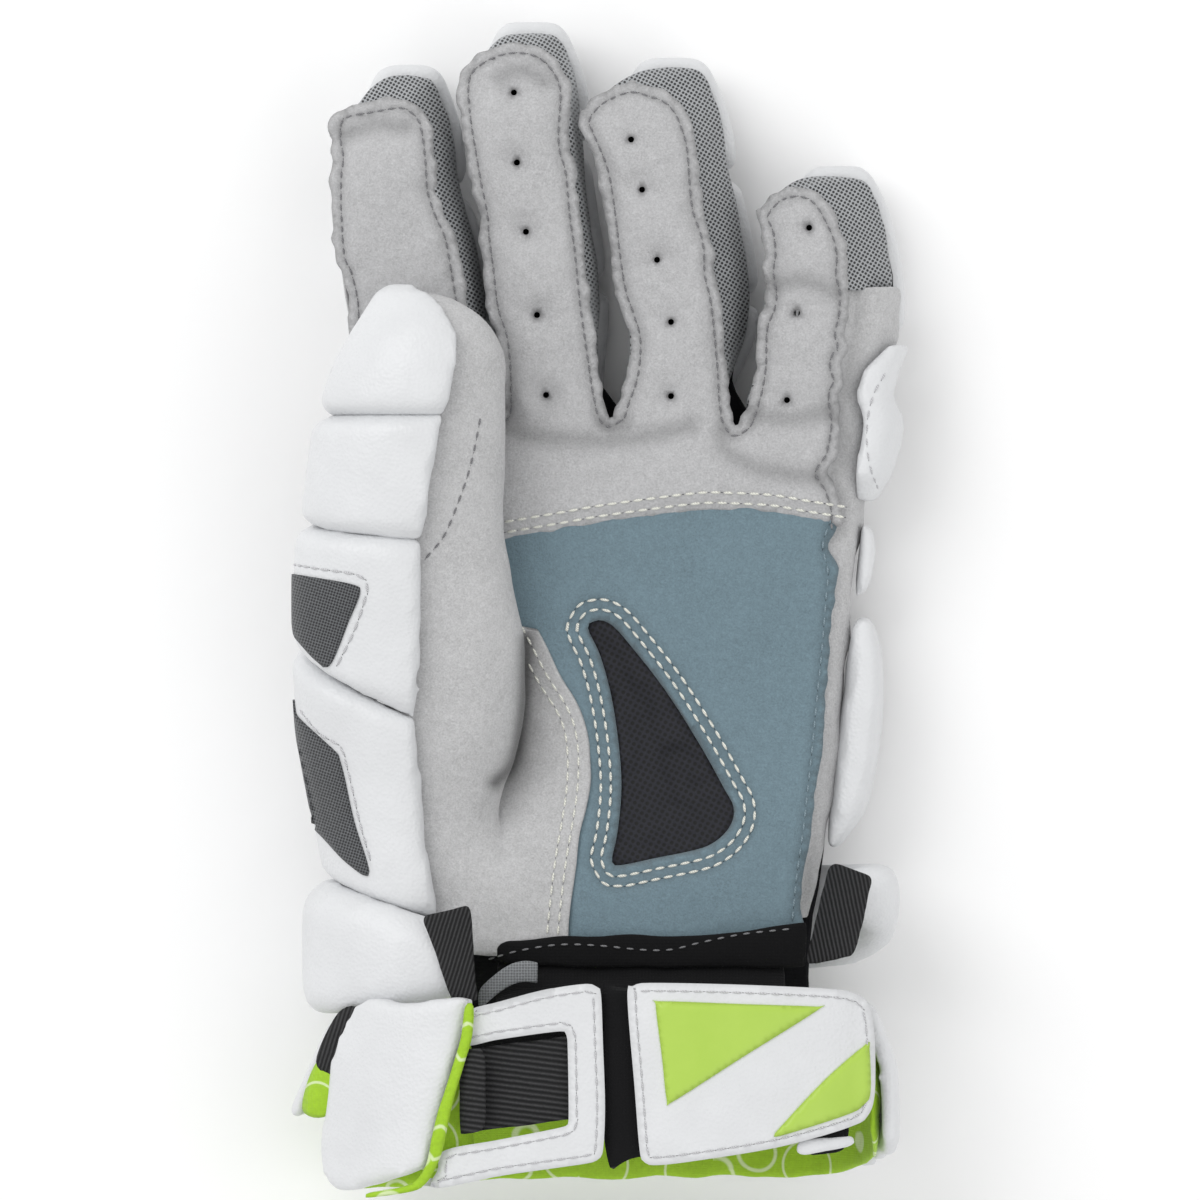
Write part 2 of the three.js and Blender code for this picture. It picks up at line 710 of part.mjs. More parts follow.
// Thumb pads: foam arcs over the back of the thumb, with creases that slant towards the wrist.
const thumbPads = [
  { name: "thumb_base_pad_lower", from: 0.06, fromSlant: 10, to: 0.405, toSlant: 19.5, under: 240 },
  { name: "thumb_base_pad_upper", from: 0.418, fromSlant: 19.5, to: 0.606, toSlant: 4, under: 236 },
  { name: "thumb_mid_pad", from: 0.618, fromSlant: 4, to: 0.784, toSlant: 0, under: 222 },
  { name: "thumb_tip_pad", from: 0.796, fromSlant: 0, to: 0.998, toSlant: 0, under: 214 },
];
const padSpan = 9;
const tipThin = 0.5;
function thumbPadDepth(at, share) {
  const thin = 1 - tipThin * ease(0.88, 1, at);
  return thumbPadThick * thin * (0.6 + 0.4 * Math.sin(Math.PI * share) ** 0.8);
}
for (const pad of thumbPads) {
  const edge = padEdge / thumbReach;
  const at = [pad.from, pad.from + edge, ...steps(pad.from + edge * 2, pad.to - edge * 2, 3)];
  at.push(pad.to - edge, pad.to);
  const loops = at.map((here, i) => {
    const t = (here - pad.from) / (pad.to - pad.from);
    const slant = mix(pad.fromSlant, pad.toSlant, t);
    const rim = i === 0 || i === at.length - 1 ? 0.55 : 1;
    const lid = column(thumbRows, "lid", THREE.MathUtils.clamp(here, 0, 1));
    const inner = steps(lid, pad.under, padSpan).map((a) => thumbPoint(here, a, gap * 2, slant));
    const outer = steps(0, 1, padSpan).map((share) => {
      const angle = mix(lid + 3, pad.under - 3, share);
      return thumbPoint(here, angle, gap + thumbPadDepth(here, share) * rim, slant);
    });
    return [...inner, ...outer.toReversed()];
  });
  rings(pad.name, loops, WHITE);
}

// Vents: thin mesh plates on the outer face of the base pads.
const vents = [
  { name: "thumb_vent_upper", pad: 1, from: 0.445, to: 0.565, wide: [164, 178], narrow: [128, 178] },
  { name: "thumb_vent_lower", pad: 0, from: 0.09, to: 0.37, wide: [128, 140], narrow: [150, 180] },
];
for (const vent of vents) {
  const pad = thumbPads[vent.pad];
  const rows = steps(0, 1, 6).map((t) => {
    const at = mix(vent.from, vent.to, t);
    const slant = mix(pad.fromSlant, pad.toSlant, (at - pad.from) / (pad.to - pad.from));
    const first = mix(vent.wide[0], vent.narrow[0], t);
    const last = mix(vent.wide[1], vent.narrow[1], t);
    return steps(0, 1, 4).map((s) => {
      const angle = mix(first, last, s);
      const share = (angle - 85) / (pad.under - 85);
      const out = gap * 2 + thumbPadDepth(at, share) + ventWall + 0.5;
      return thumbPoint(at, angle, out, slant);
    });
  });
  gridSheet(vent.name, rows.toReversed(), ventWall, GUSSET);
}

// Index side panel: the suede wall that closes the hand on the thumb side, under the thumb.
const index = fingers[0];
function innerFoot(at) {
  if (at >= 0) return at3(palmSide(at, "low") + 1, palmY(at), gussetBottom + footClear);
  const share = (-at * palmLength) / index.length;
  const x = mix(palmSide(0, "low") + 1, gussetFoot(index, share, "left").x, ease(0, 0.2, share));
  return at3(x, palmY(at), gussetBottom + footClear + lift(index, share));
}
function innerHead(at) {
  if (at < 0) {
    const share = (-at * palmLength) / index.length;
    return gussetHead(index, share, "left").add(at3(-0.4, 0, 0));
  }
  const x = palmSide(at, "left") + 1;
  const thumbAt = (palmY(at) - thumbBaseY) / thumbReach;
  const under = thumbPoint(thumbAt, 270, 0).z - 1.4;
  const z = Math.min(palmTop(at, x) - suedeWall - gap - 0.6, under);
  return at3(x, palmY(at), z);
}
const innerFrom = (-0.69 * indexLength) / palmLength;
const innerStations = [...steps(innerFrom, 0, 6), 0.08, 0.16, 0.24, 0.32, 0.42, 0.5, 0.56];
gridSheet(
  "index_side_panel",
  [
    innerStations.map((at) => innerFoot(at)),
    innerStations.map((at) => innerFoot(at).lerp(innerHead(at), 0.5).add(at3(-0.9, 0, 0))),
    innerStations.map((at) => innerHead(at)),
  ],
  suedeWall,
  SUEDE,
);

// Palm patch with its cut window. Both outlines hold the same number of points, from the upper
// left corner clockwise, as shares of the palm's width and length.
const patchTop = 0.165;
const patchEnd = 1.02;
const patchOutline = [
  ...steps(0.24, 0.93, 7).map((x) => ({ x, at: patchTop + 0.02 * (0.93 - x) })),
  ...steps(0.185, 0.93, 8).map((at) => ({ at, edge: "right" })),
  ...steps(0.83, 0.41, 6).map((x) => ({ x, at: patchEnd })),
  { x: 0.4, at: 0.84 },
  { x: 0.42, at: 0.72 },
  { x: 0.41, at: 0.58 },
  { x: 0.358, at: 0.46 },
  { x: 0.312, at: 0.36 },
  { x: 0.262, at: 0.27 },
];
const windowRows = [
  { at: 0.4, left: 0.462, right: 0.495 },
  { at: 0.44, left: 0.468, right: 0.565 },
  { at: 0.52, left: 0.497, right: 0.635 },
  { at: 0.63, left: 0.527, right: 0.71 },
  { at: 0.73, left: 0.535, right: 0.764 },
  { at: 0.79, left: 0.53, right: 0.77 },
  { at: 0.845, left: 0.515, right: 0.69 },
];
const patchLower = suedeWall + gap * 2;
const onPalm = (x, at, deeper) => at3(x, palmY(at), palmTop(at, x) - deeper);
const outline = patchOutline.map(({ x, at, edge }) =>
  at3(edge ? palmSide(at, "right") : palmX(x), palmY(at), 0),
);

// A loop round the window, pushed out from its edge by a margin, as many points as the outline.
function windowLoop(margin) {
  const left = windowRows.map((row) => at3(palmX(row.left), palmY(row.at), 0));
  const right = windowRows.map((row) => at3(palmX(row.right), palmY(row.at), 0));
  const path = new THREE.CatmullRomCurve3([...right, ...left.toReversed()], true, "centripetal");
  const points = path.getSpacedPoints(outline.length * 4).slice(0, -1);
  const centre = at3(0, 0, 0);
  for (const p of points) centre.addScaledVector(p, 1 / points.length);
  const chosen = outline.map((corner) => {
    const want = Math.atan2(corner.y - centre.y, corner.x - centre.x);
    const turn = (p) => {
      const d = Math.atan2(p.y - centre.y, p.x - centre.x) - want;
      return Math.abs(Math.atan2(Math.sin(d), Math.cos(d)));
    };
    return points.reduce((best, p) => (turn(p) < turn(best) ? p : best));
  });
  return chosen.map((p) => {
    const out = p.clone().sub(centre);
    return p.clone().addScaledVector(out.normalize(), margin);
  });
}
{
  const hole = windowLoop(0);
  const shares = [1, 0.72, 0.45, 0.2, 0];
  const rows = shares.map((share) => {
    const loop = outline.map((corner, i) => hole[i].clone().lerp(corner, share));
    return loop.map((p) => onPalm(p.x, -p.y / palmLength, patchLower));
  });
  const width = outline.length;
  const faces = [];
  for (let r = 0; r < rows.length - 1; r++) {
    for (let c = 0; c < width; c++) {
      const [i, j] = [r * width + c, r * width + ((c + 1) % width)];
      quad(faces, j, i, i + width, j + width);
    }
  }
  sheet("palm_patch", rows.flat(), faces, suedeWall, BLUE);
}

// Palm mesh: sewn behind the patch, past the window on all sides.
const meshMargin = 5;
{
  const loop = windowLoop(meshMargin);
  const middle = loop.reduce((sum, p) => sum.addScaledVector(p, 1 / loop.length), at3(0, 0, 0));
  const lower = patchLower + suedeWall + gap * 2;
  const place = (p) => onPalm(p.x, -p.y / palmLength, lower);
  const width = loop.length;
  const points = [1, 0.66, 0.33].flatMap((share) =>
    loop.map((p) => place(middle.clone().lerp(p, share))),
  );
  const pole = points.push(place(middle)) - 1;
  const faces = [];
  for (let r = 0; r < 3; r++) {
    for (let c = 0; c < width; c++) {
      const [i, j] = [r * width + c, r * width + ((c + 1) % width)];
      if (r === 2) faces.push([j, i, pole]);
      else quad(faces, j, i, i + width, j + width);
    }
  }
  sheet("palm_mesh", points, faces, meshWall, NAVY);
}

// Thumb gusset: the suede between the thumb and the patch, which widens below the thumb's sleeve.
const gussetEdge = [
  { at: 0.34, x: 0.3 },
  { at: 0.385, x: 0.342 },
  { at: 0.48, x: 0.395 },
  { at: 0.57, x: 0.453 },
  { at: 0.65, x: 0.468 },
  { at: 0.72, x: 0.462 },
  { at: 0.85, x: 0.44 },
  { at: 0.985, x: 0.42 },
];
const sleeveEndAt = -thumbY(sleeveFrom) / palmLength;
const belowSleeve = sleeveEndAt + 0.008;
const besideSleeve = steps(0.375, sleeveEndAt - 0.012, 5);
const gussetStations = [...besideSleeve, belowSleeve, 0.82, 0.89, 0.955, 1.015];
const leftColumns = 4;
const rightColumns = 4;
const lidClear = 4.2;
const lidDrop = 1.4;
const foldOut = 2;
gridSheet(
  "thumb_gusset",
  gussetStations.toReversed().map((at) => {
    const thumbAt = (palmY(at) - thumbBaseY) / thumbReach;
    const fold = thumbPoint(Math.max(thumbAt, sleeveFrom), 0, foldOut);
    const right = Math.max(palmX(column(gussetEdge, "x", at)), fold.x + foldOut);
    const below = ease(sleeveEndAt, 1, at);
    const foldX = fold.x;
    const foldZ = mix(fold.z, palmTop(at, fold.x), 0.35 + 0.6 * below);
    const lid = thumbPoint(thumbAt, column(thumbRows, "lid", Math.max(thumbAt, 0)), 0);
    const leftX = lid.x + lidClear;
    const leftZ = lid.z - lidDrop;
    const onSleeve = steps(0, 1, leftColumns).slice(0, -1);
    const left = onSleeve.map((t) => {
      const z = mix(leftZ, foldZ, t) + 3 * Math.sin(Math.PI * t) * (1 - below);
      return at3(mix(leftX, foldX, t), palmY(at), z);
    });
    const across = steps(0, 1, rightColumns).map((t) => {
      const x = mix(foldX, right, t);
      return at3(x, palmY(at), mix(foldZ, palmTop(at, x), ease(0, 0.8, t)));
    });
    return [...left, ...across];
  }),
  suedeWall,
  SUEDE,
  (r, c) => c < leftColumns && r >= gussetStations.length - besideSleeve.length - 1,
);

// Palm hem: a folded binding across the heel of the palm.
const hemRows = [
  { at: 0, high: 1.0, low: 1.045 },
  { at: 0.35, high: 0.987, low: 1.048 },
  { at: 0.65, high: 0.99, low: 1.048 },
  { at: 1, high: 0.962, low: 1.05 },
];
const hemFrom = 0.27;
const hemTo = 0.925;
const hemLift = 0.4;
rings(
  "palm_hem",
  steps(0, 1, 8).map((t) => {
    const x = palmX(mix(hemFrom, hemTo, t));
    const high = column(hemRows, "high", t);
    const low = column(hemRows, "low", t);
    const top = palmTop(1, x) + gap + hemLift;
    return paddedSection(palmY(low), palmY(high), top, top + hemThick, 0.8, (y, z) => at3(x, y, z));
  }),
  BLACK,
);

// Wrist roll: a padded bar round the back and the sides of the wrist, open over the palm.
const rollRows = [
  { at: 0, high: 0.975, low: 1.095 },
  { at: 0.08, high: 0.945, low: 1.1 },
  { at: 0.2, high: 0.895, low: 1.105 },
  { at: 0.5, high: 0.86, low: 1.1 },
  { at: 0.8, high: 0.85, low: 1.05 },
  { at: 0.93, high: 0.85, low: 0.98 },
  { at: 1, high: 0.86, low: 0.97 },
];
const rollFrom = 112;
const rollTo = 394;
rings(
  "wrist_roll",
  steps(0, 1, 20).map((t) => {
    const angle = mix(rollFrom, rollTo, t);
    const inset = t === 0 || t === 1 ? 1.5 : 0;
    const low = palmY(column(rollRows, "low", t)) + inset;
    const high = palmY(column(rollRows, "high", t)) - inset;
    return paddedSection(low, high, inset, rollThick - inset, 4, (y, off) => rollPoint(angle, off, y));
  }),
  WHITE,
);

// Cuff: green lining inside, white panels outside.
const cuffStart = 112;
const cuffStop = 382;
const flare = (angle) => cuffFlare * ease(cuffStop - 37, cuffStop, angle);

// A cuff wall: rows along Y, columns round the oval. Columns: angle, high and low ends as shares
// of the cuff's length.
function cuffWall(name, table, off, wall, look, count, rows = 3) {
  const list = steps(table[0].at, table[table.length - 1].at, count);
  const grid = steps(1, 0, rows).map((t) =>
    list.map((angle) => {
      const y = cuffY(mix(column(table, "low", angle), column(table, "high", angle), t));
      return cuffPoint(angle, off + flare(angle), y);
    }),
  );
  gridSheet(name, grid, wall, look);
}
const panelOff = liningWall + gap;
cuffWall(
  "cuff_lining",
  [
    { at: cuffStart, high: 0.02, low: 0.93 },
    { at: 150, high: 0.02, low: 0.97 },
    { at: 210, high: 0.02, low: 0.99 },
    { at: 270, high: 0.05, low: 0.97 },
    { at: 330, high: 0.05, low: 0.93 },
    { at: 365, high: 0.05, low: 0.8 },
    { at: cuffStop, high: 0.1, low: 0.7 },
  ],
  liningWall,
  liningWall,
  GREEN,
  22,
);
cuffWall(
  "cuff_back_panel",
  [
    { at: 219, high: 0.02, low: 0.98 },
    { at: 270, high: 0.05, low: 0.96 },
    { at: 330, high: 0.05, low: 0.92 },
  ],
  panelOff + cuffPadThick,
  cuffPadThick,
  WHITE,
  8,
);
cuffWall(
  "cuff_little_panel",
  [
    { at: 336, high: 0.05, low: 0.9 },
    { at: 365, high: 0.06, low: 0.8 },
    { at: cuffStop - 1, high: 0.12, low: 0.7 },
  ],
  panelOff + cuffPanelThick,
  cuffPanelThick,
  WHITE,
  6,
);
cuffWall(
  "cuff_corner_panel",
  [
    { at: 174, high: 0.02, low: 0.58 },
    { at: 195, high: 0.02, low: 0.6 },
    { at: 213, high: 0.05, low: 0.6 },
  ],
  panelOff + cuffPanelThick,
  cuffPanelThick,
  WHITE,
  4,
);
cuffWall(
  "cuff_thumb_panel",
  [
    { at: 118, high: 0.0, low: 0.85 },
    { at: 135, high: 0.02, low: 0.96 },
    { at: 152, high: 0.02, low: 0.97 },
    { at: 166, high: 0.3, low: 0.75 },
  ],
  panelOff + cuffPadThick,
  cuffPadThick,
  WHITE,
  8,
);

// Straps over the front of the cuff. Each is a grid between two slanting edges that follows the
// oval's top. Its rows hold Y at the left and right ends as shares of the cuff's length.
const strapTop = cuffMiddleZ + cuffRoomHeight / 2;
function strapHeight(x, off) {
  const share = Math.min(Math.abs(x) / (cuffRoomWidth / 2 + 12), 0.97);
  return cuffMiddleZ + (cuffRoomHeight / 2) * (1 - share ** ovalPower) ** (1 / ovalPower) + off;
}
function strap(name, xs, rows, off, wall, look, skip) {
  const grid = rows.toReversed().map(([left, right]) =>
    xs.map((share) => {
      const x = share * cuffRoomWidth;
      const t = (share - xs[0]) / (xs[xs.length - 1] - xs[0]);
      return at3(x, cuffY(mix(left, right, t)), strapHeight(x, off));
    }),
  );
  gridSheet(name, grid, wall, look, skip);
}
const strapStandOff = 1.8;
const elasticOff = elasticWall + strapStandOff;
const elasticSlant = 0.4;
const frameOff = elasticOff + gap * 2 + strapWall;
strap(
  "strap_frame",
  [-0.298, -0.26, -0.2, -0.13, -0.06, -0.025, 0.005],
  [
    [0.06, -0.19],
    [0.12, 0.03],
    [0.67, 0.58],
    [0.95, 0.72],
  ],
  frameOff,
  strapWall,
  WHITE,
  (r, c) => r === 1 && c < 4,
);
{
  const fold = elasticOff + gap * 2 + elasticWall;
  const path = [
    ...steps(0.003, -0.245, 5).map((share) => [share * cuffRoomWidth, elasticOff]),
    [-0.262 * cuffRoomWidth, (elasticOff + fold) / 2 + 0.6],
    [-0.25 * cuffRoomWidth, fold + elasticWall + 0.5],
    [-0.215 * cuffRoomWidth, fold + elasticWall + 0.5],
  ];
  gridSheet(
    "strap_elastic",
    steps(1, 0, 2).map((t) =>
      path.map(([x, off]) => {
        const slant = (elasticSlant * (x - path[path.length - 1][0])) / cuffRoomWidth;
        return at3(x, cuffY(mix(0.625, 0.135, t) - slant), strapHeight(x, off));
      }),
    ),
    elasticWall,
    BLACK,
  );
}
strap(
  "loop_pad",
  [0.0085, 0.1, 0.2, 0.3, 0.38],
  [
    [-0.12, -0.1],
    [0.3, 0.3],
    [0.78, 0.7],
  ],
  elasticOff,
  elasticWall,
  BLACK,
);
const labelOff = frameOff;
strap(
  "label_base",
  [0.058, 0.14, 0.22, 0.3, 0.37, 0.43, 0.475, 0.52],
  [
    [-0.22, -0.13],
    [0.1, 0.1],
    [0.45, 0.36],
    [0.81, 0.6],
  ],
  labelOff,
  strapWall,
  WHITE,
);

// Green fields on the label, in two opposite corners.
function labelField(name, corners) {
  const rows = steps(0, 1, 4).map((v) =>
    steps(0, 1, 4).map((u) => {
      const [a, b, c, d] = corners;
      const share = mix(mix(a.x, b.x, u), mix(d.x, c.x, u), v);
      const along = mix(mix(a.at, b.at, u), mix(d.at, c.at, u), v);
      const x = share * cuffRoomWidth;
      return at3(x, cuffY(along), strapHeight(x, labelOff + gap + fieldWall + 0.25));
    }),
  );
  gridSheet(name, rows.toReversed(), fieldWall, LABEL_GREEN);
}
labelField("label_field_upper", [
  { x: 0.112, at: -0.11 },
  { x: 0.4, at: -0.075 },
  { x: 0.245, at: 0.22 },
  { x: 0.13, at: 0.45 },
]);
labelField("label_field_lower", [
  { x: 0.43, at: 0.3 },
  { x: 0.5, at: 0.14 },
  { x: 0.495, at: 0.5 },
  { x: 0.34, at: 0.65 },
]);

// Closure tab and hook strip: what shows of the strap's inner end below the label.
const closureOff = elasticOff + 0.3;
strap(
  "hook_strip",
  [0.39, 0.43, 0.47],
  [
    [0.45, 0.45],
    [0.745, 0.72],
  ],
  closureOff,
  elasticWall,
  BLACK,
);
strap(
  "closure_tab",
  [0.37, 0.43, 0.485],
  [
    [0.757, 0.735],
    [0.86, 0.8],
  ],
  closureOff,
  strapWall,
  WHITE,
);

// Wrist neck: the black stretch cloth between the palm hem and the straps.
const neckFrom = 0.27;
const neckTo = 0.88;
gridSheet(
  "cuff_neck",
  [0, 0.35, 0.7, 1].toReversed().map((t) =>
    steps(0, 1, 8).map((s) => {
      const x = palmX(mix(neckFrom, neckTo, s));
      const y = mix(palmY(1.03), cuffY(-0.02), t);
      return at3(x, y, mix(palmTop(1, x) - 1.6, strapHeight(x, -1.2), ease(0.1, 1, t)));
    }),
  ),
  elasticWall,
  BLACK,
);

// Elastic loops: stretch straps from the roll's two ends to the palm.
function elasticLoop(name, corners) {
  const rows = steps(0, 1, 4).map((v) =>
    steps(0, 1, 3).map((u) => {
      const [a, b, c, d] = corners;
      const x = mix(mix(a.x, b.x, u), mix(d.x, c.x, u), v);
      const at = mix(mix(a.at, b.at, u), mix(d.at, c.at, u), v);
      const z = mix(mix(a.z, b.z, u), mix(d.z, c.z, u), v) + 1.5 * Math.sin(Math.PI * u);
      return at3(palmX(x), palmY(at), z);
    }),
  );
  gridSheet(name, rows.toReversed(), elasticWall, BLACK);
}
const rollTop = rollHeight + gap + elasticWall + 0.6;
elasticLoop("elastic_loop_thumb", [
  { x: 0.115, at: 0.975, z: rollTop - 5.2 },
  { x: 0.22, at: 0.955, z: rollTop - 3.4 },
  { x: 0.238, at: 1.11, z: rollTop - 3.2 },
  { x: 0.18, at: 1.115, z: rollTop - 3.2 },
]);
elasticLoop("elastic_loop_little", [
  { x: 0.98, at: 0.845, z: rollTop - 20 },
  { x: 1.06, at: 0.865, z: rollTop - 7 },
  { x: 1.02, at: 0.98, z: rollTop - 6 },
  { x: 0.94, at: 1.0, z: rollTop - 16 },
]);

// Ribbon loop: a narrow folded tape between the hem and the strap frame.
rings(
  "ribbon_loop",
  steps(0, 1, 5).map((t) => {
    const x = palmX(mix(0.235, 0.36, t));
    const y = palmY(mix(1.12, 1.065, Math.sin((Math.PI * t) / 1.6)));
    return paddedSection(y - 1.5, y + 4.5, rollTop - 12, rollTop - 10.4, 0.4, (v, z) => at3(x, v, z));
  }),
  RIBBON,
);

// The origin is the middle of the underside.
const box = new THREE.Box3().setFromObject(glove);
const middle = box.getCenter(new THREE.Vector3());
glove.position.set(-middle.x, -middle.y, -box.min.z);

export default glove;
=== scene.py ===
import math

import bmesh
import bpy
import numpy as np
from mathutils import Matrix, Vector, kdtree, noise
from mathutils.bvhtree import BVHTree
from mathutils.geometry import delaunay_2d_cdt


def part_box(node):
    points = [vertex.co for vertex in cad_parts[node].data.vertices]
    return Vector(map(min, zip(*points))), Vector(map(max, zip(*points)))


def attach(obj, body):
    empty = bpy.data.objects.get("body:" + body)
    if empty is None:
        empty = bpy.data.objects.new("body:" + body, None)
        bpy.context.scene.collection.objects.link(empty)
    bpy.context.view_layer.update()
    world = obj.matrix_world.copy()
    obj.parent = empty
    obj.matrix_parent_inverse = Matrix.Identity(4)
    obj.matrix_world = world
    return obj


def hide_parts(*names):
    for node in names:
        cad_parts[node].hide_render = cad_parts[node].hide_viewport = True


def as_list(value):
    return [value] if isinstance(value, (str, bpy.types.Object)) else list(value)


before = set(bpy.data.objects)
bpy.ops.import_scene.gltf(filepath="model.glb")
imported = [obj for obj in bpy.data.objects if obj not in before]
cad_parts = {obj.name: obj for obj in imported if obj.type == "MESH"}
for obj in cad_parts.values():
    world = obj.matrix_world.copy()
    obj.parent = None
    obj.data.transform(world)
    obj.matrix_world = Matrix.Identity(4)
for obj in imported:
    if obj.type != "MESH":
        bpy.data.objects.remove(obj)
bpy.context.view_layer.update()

scene = bpy.context.scene
scene.view_settings.view_transform = "Standard"


# Camera, floor and light.
# The glove lies palm up on a pale table under a camera that looks straight down.
CAMERA_HEIGHT = 3.0
SHARP_HEIGHT = 0.04
VIEW_WIDTH = 0.336

camera_data = bpy.data.cameras.new("camera")
camera_data.sensor_width = 36
camera_data.lens = 36 * (CAMERA_HEIGHT - SHARP_HEIGHT) / VIEW_WIDTH
camera = bpy.data.objects.new("camera", camera_data)
camera.location = (-0.00017, 0.00066, CAMERA_HEIGHT)
scene.collection.objects.link(camera)
scene.camera = camera


def linear(colour):
    return [((c + 0.055) / 1.055) ** 2.4 if c > 0.04 else c / 12.92 for c in colour]


def finish_named(name, colour, roughness, **settings):
    """A new material with its plain numbers on the shader, and its node tree and shader."""
    material = bpy.data.materials.new(name)
    material.use_nodes = True
    shader = material.node_tree.nodes["Principled BSDF"]
    shader.inputs["Base Color"].default_value = (*linear(colour), 1)
    shader.inputs["Roughness"].default_value = roughness
    for key, value in settings.items():
        shader.inputs[key.replace("_", " ")].default_value = value
    return material, material.node_tree, shader


def put(tree, kind, inputs=(), **settings):
    """A node of one kind, with its settings, and its inputs linked or set by name or number."""
    node = tree.nodes.new(kind)
    for key, value in settings.items():
        setattr(node, key, value)
    for key, value in dict(inputs).items():
        if isinstance(value, bpy.types.NodeSocket):
            tree.links.new(value, node.inputs[key])
        else:
            node.inputs[key].default_value = value
    return node


def grain(tree, place, scale, detail=3.0, rough=0.6):
    node = put(tree, "ShaderNodeTexNoise", {"Vector": place, "Scale": scale, "Detail": detail})
    node.inputs["Roughness"].default_value = rough
    return node.outputs["Fac"]


def crisp(tree, share, low=0.38, high=0.62):
    """The same grain with its contrast drawn out."""
    node = put(tree, "ShaderNodeMapRange", {"Value": share, 1: low, 2: high})
    return node.outputs["Result"]


def raised(tree, height, distance, strength=1.0, under=None):
    inputs = {"Height": height, "Distance": distance, "Strength": strength}
    if under:
        inputs["Normal"] = under
    return put(tree, "ShaderNodeBump", inputs).outputs["Normal"]


def between(tree, share, low, high):
    """A colour that runs from low to high with share."""
    node = put(tree, "ShaderNodeMix", {"Factor": share}, data_type="RGBA")
    for socket, value in ((node.inputs[6], low), (node.inputs[7], high)):
        if isinstance(value, bpy.types.NodeSocket):
            tree.links.new(value, socket)
        else:
            socket.default_value = (*linear(value), 1)
    return node.outputs[2]


def object_place(tree):
    return tree.nodes.new("ShaderNodeTexCoord").outputs["Object"]


floor_finish, tree, shader = finish_named("table_top", (0.985, 0.985, 0.985), 0.7)
paper = grain(tree, object_place(tree), 60)
tree.links.new(raised(tree, paper, 0.0002), shader.inputs["Normal"])
floor_mesh = bpy.data.meshes.new("table_top")
floor_mesh.from_pydata([(-4, -4, 0), (4, -4, 0), (4, 4, 0), (-4, 4, 0)], [], [(0, 1, 2, 3)])
floor = bpy.data.objects.new("table_top", floor_mesh)
floor.data.materials.append(floor_finish)
scene.collection.objects.link(floor)

world = bpy.data.worlds.new("studio")
world.use_nodes = True
world.node_tree.nodes["Background"].inputs["Color"].default_value = (1, 1, 1, 1)
world.node_tree.nodes["Background"].inputs["Strength"].default_value = 0.78
scene.world = world
SOFT_BOXES = [
    ("soft_box_left", (-0.75, 0.75, 1.25), 1.0, 9.5),
    ("soft_box_right", (0.9, -0.5, 1.3), 1.2, 3.5),
]
for light_name, at, size, power in SOFT_BOXES:
    light = bpy.data.lights.new(light_name, "AREA")
    light.size = size
    light.energy = power
    lamp = bpy.data.objects.new(light_name, light)
    lamp.location = at
    lamp.rotation_euler = (-Vector(at)).to_track_quat("-Z", "Y").to_euler()
    scene.collection.objects.link(lamp)


# Back pads of the fingers, knuckles and hand.
# Blocks of foam in white coated leather, each sewn down round its rim on the stretch liner, with
# sewn channels across the longer ones.
PAD_VOXEL = 0.0022
PAD_SHRINK = 0.0003
PAD_SWELL = 0.0014
CHANNEL_WIDTH = 0.0017
CHANNEL_DEPTH = 0.0022


def leather_finish(name, colour, roughness=0.4):
    """Coated leather: a pebbled skin with fine pores, with painted shade in its channels and along its
    cut edges.
    """
    material, tree, shader = finish_named(name, colour, roughness, Specular_IOR_Level=0.45)
    place = object_place(tree)
    pebble = put(
        tree,
        "ShaderNodeTexVoronoi",
        {"Vector": place, "Scale": 1050, "Smoothness": 0.5},
        feature="SMOOTH_F1",
    ).outputs["Distance"]
    pores = grain(tree, place, 2600, 4)
    clouds = grain(tree, place, 45, 3)
    toned = between(tree, clouds, [c * 0.955 for c in colour], [min(c * 1.03, 1) for c in colour])
    # Painted shade: the leather is darkened where channels and cut edges would lie in shade.
    painted_shade = put(tree, "ShaderNodeAttribute", attribute_name="painted_shade").outputs["Fac"]
    shaded = between(tree, painted_shade, toned, [c * 0.62 for c in colour])
    tree.links.new(shaded, shader.inputs["Base Color"])
    worn = put(tree, "ShaderNodeMapRange", {"Value": clouds, 3: roughness - 0.07, 4: roughness + 0.1})
    tree.links.new(worn.outputs["Result"], shader.inputs["Roughness"])
    normal = raised(tree, clouds, 0.0012, 0.5)
    normal = raised(tree, pebble, 0.00028, 0.55, normal)
    normal = raised(tree, pores, 0.0001, 0.5, normal)
    tree.links.new(normal, shader.inputs["Normal"])
    return material


def merged(*nodes):
    """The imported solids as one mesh, with their loose triangles joined."""
    shape = bmesh.new()
    for node in nodes:
        shape.from_mesh(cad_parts[node].data)
    bmesh.ops.remove_doubles(shape, verts=shape.verts, dist=0.00002)
    return shape


def as_object(name, shape):
    mesh = bpy.data.meshes.new(name)
    if isinstance(shape, bmesh.types.BMesh):
        shape.to_mesh(mesh)
        shape.free()
    else:
        mesh.from_pydata(shape[0], [], shape[1])
    made = bpy.data.objects.new(name, mesh)
    scene.collection.objects.link(made)
    return made


def applied(made):
    """Puts what the modifiers make into the mesh, and takes them off."""
    made_now = made.evaluated_get(bpy.context.evaluated_depsgraph_get())
    mesh = bpy.data.meshes.new_from_object(made_now)
    made.modifiers.clear()
    old = made.data
    made.data = mesh
    bpy.data.meshes.remove(old)
    return made


def spots(made):
    flat = np.empty(len(made.data.vertices) * 3)
    made.data.vertices.foreach_get("co", flat)
    return flat.reshape(-1, 3)


def move_to(made, places):
    made.data.vertices.foreach_set("co", np.ravel(places))
    made.data.update()


def directions(made):
    flat = np.empty(len(made.data.vertices) * 3, np.float32)
    made.data.vertex_normals.foreach_get("vector", flat)
    return flat.reshape(-1, 3)


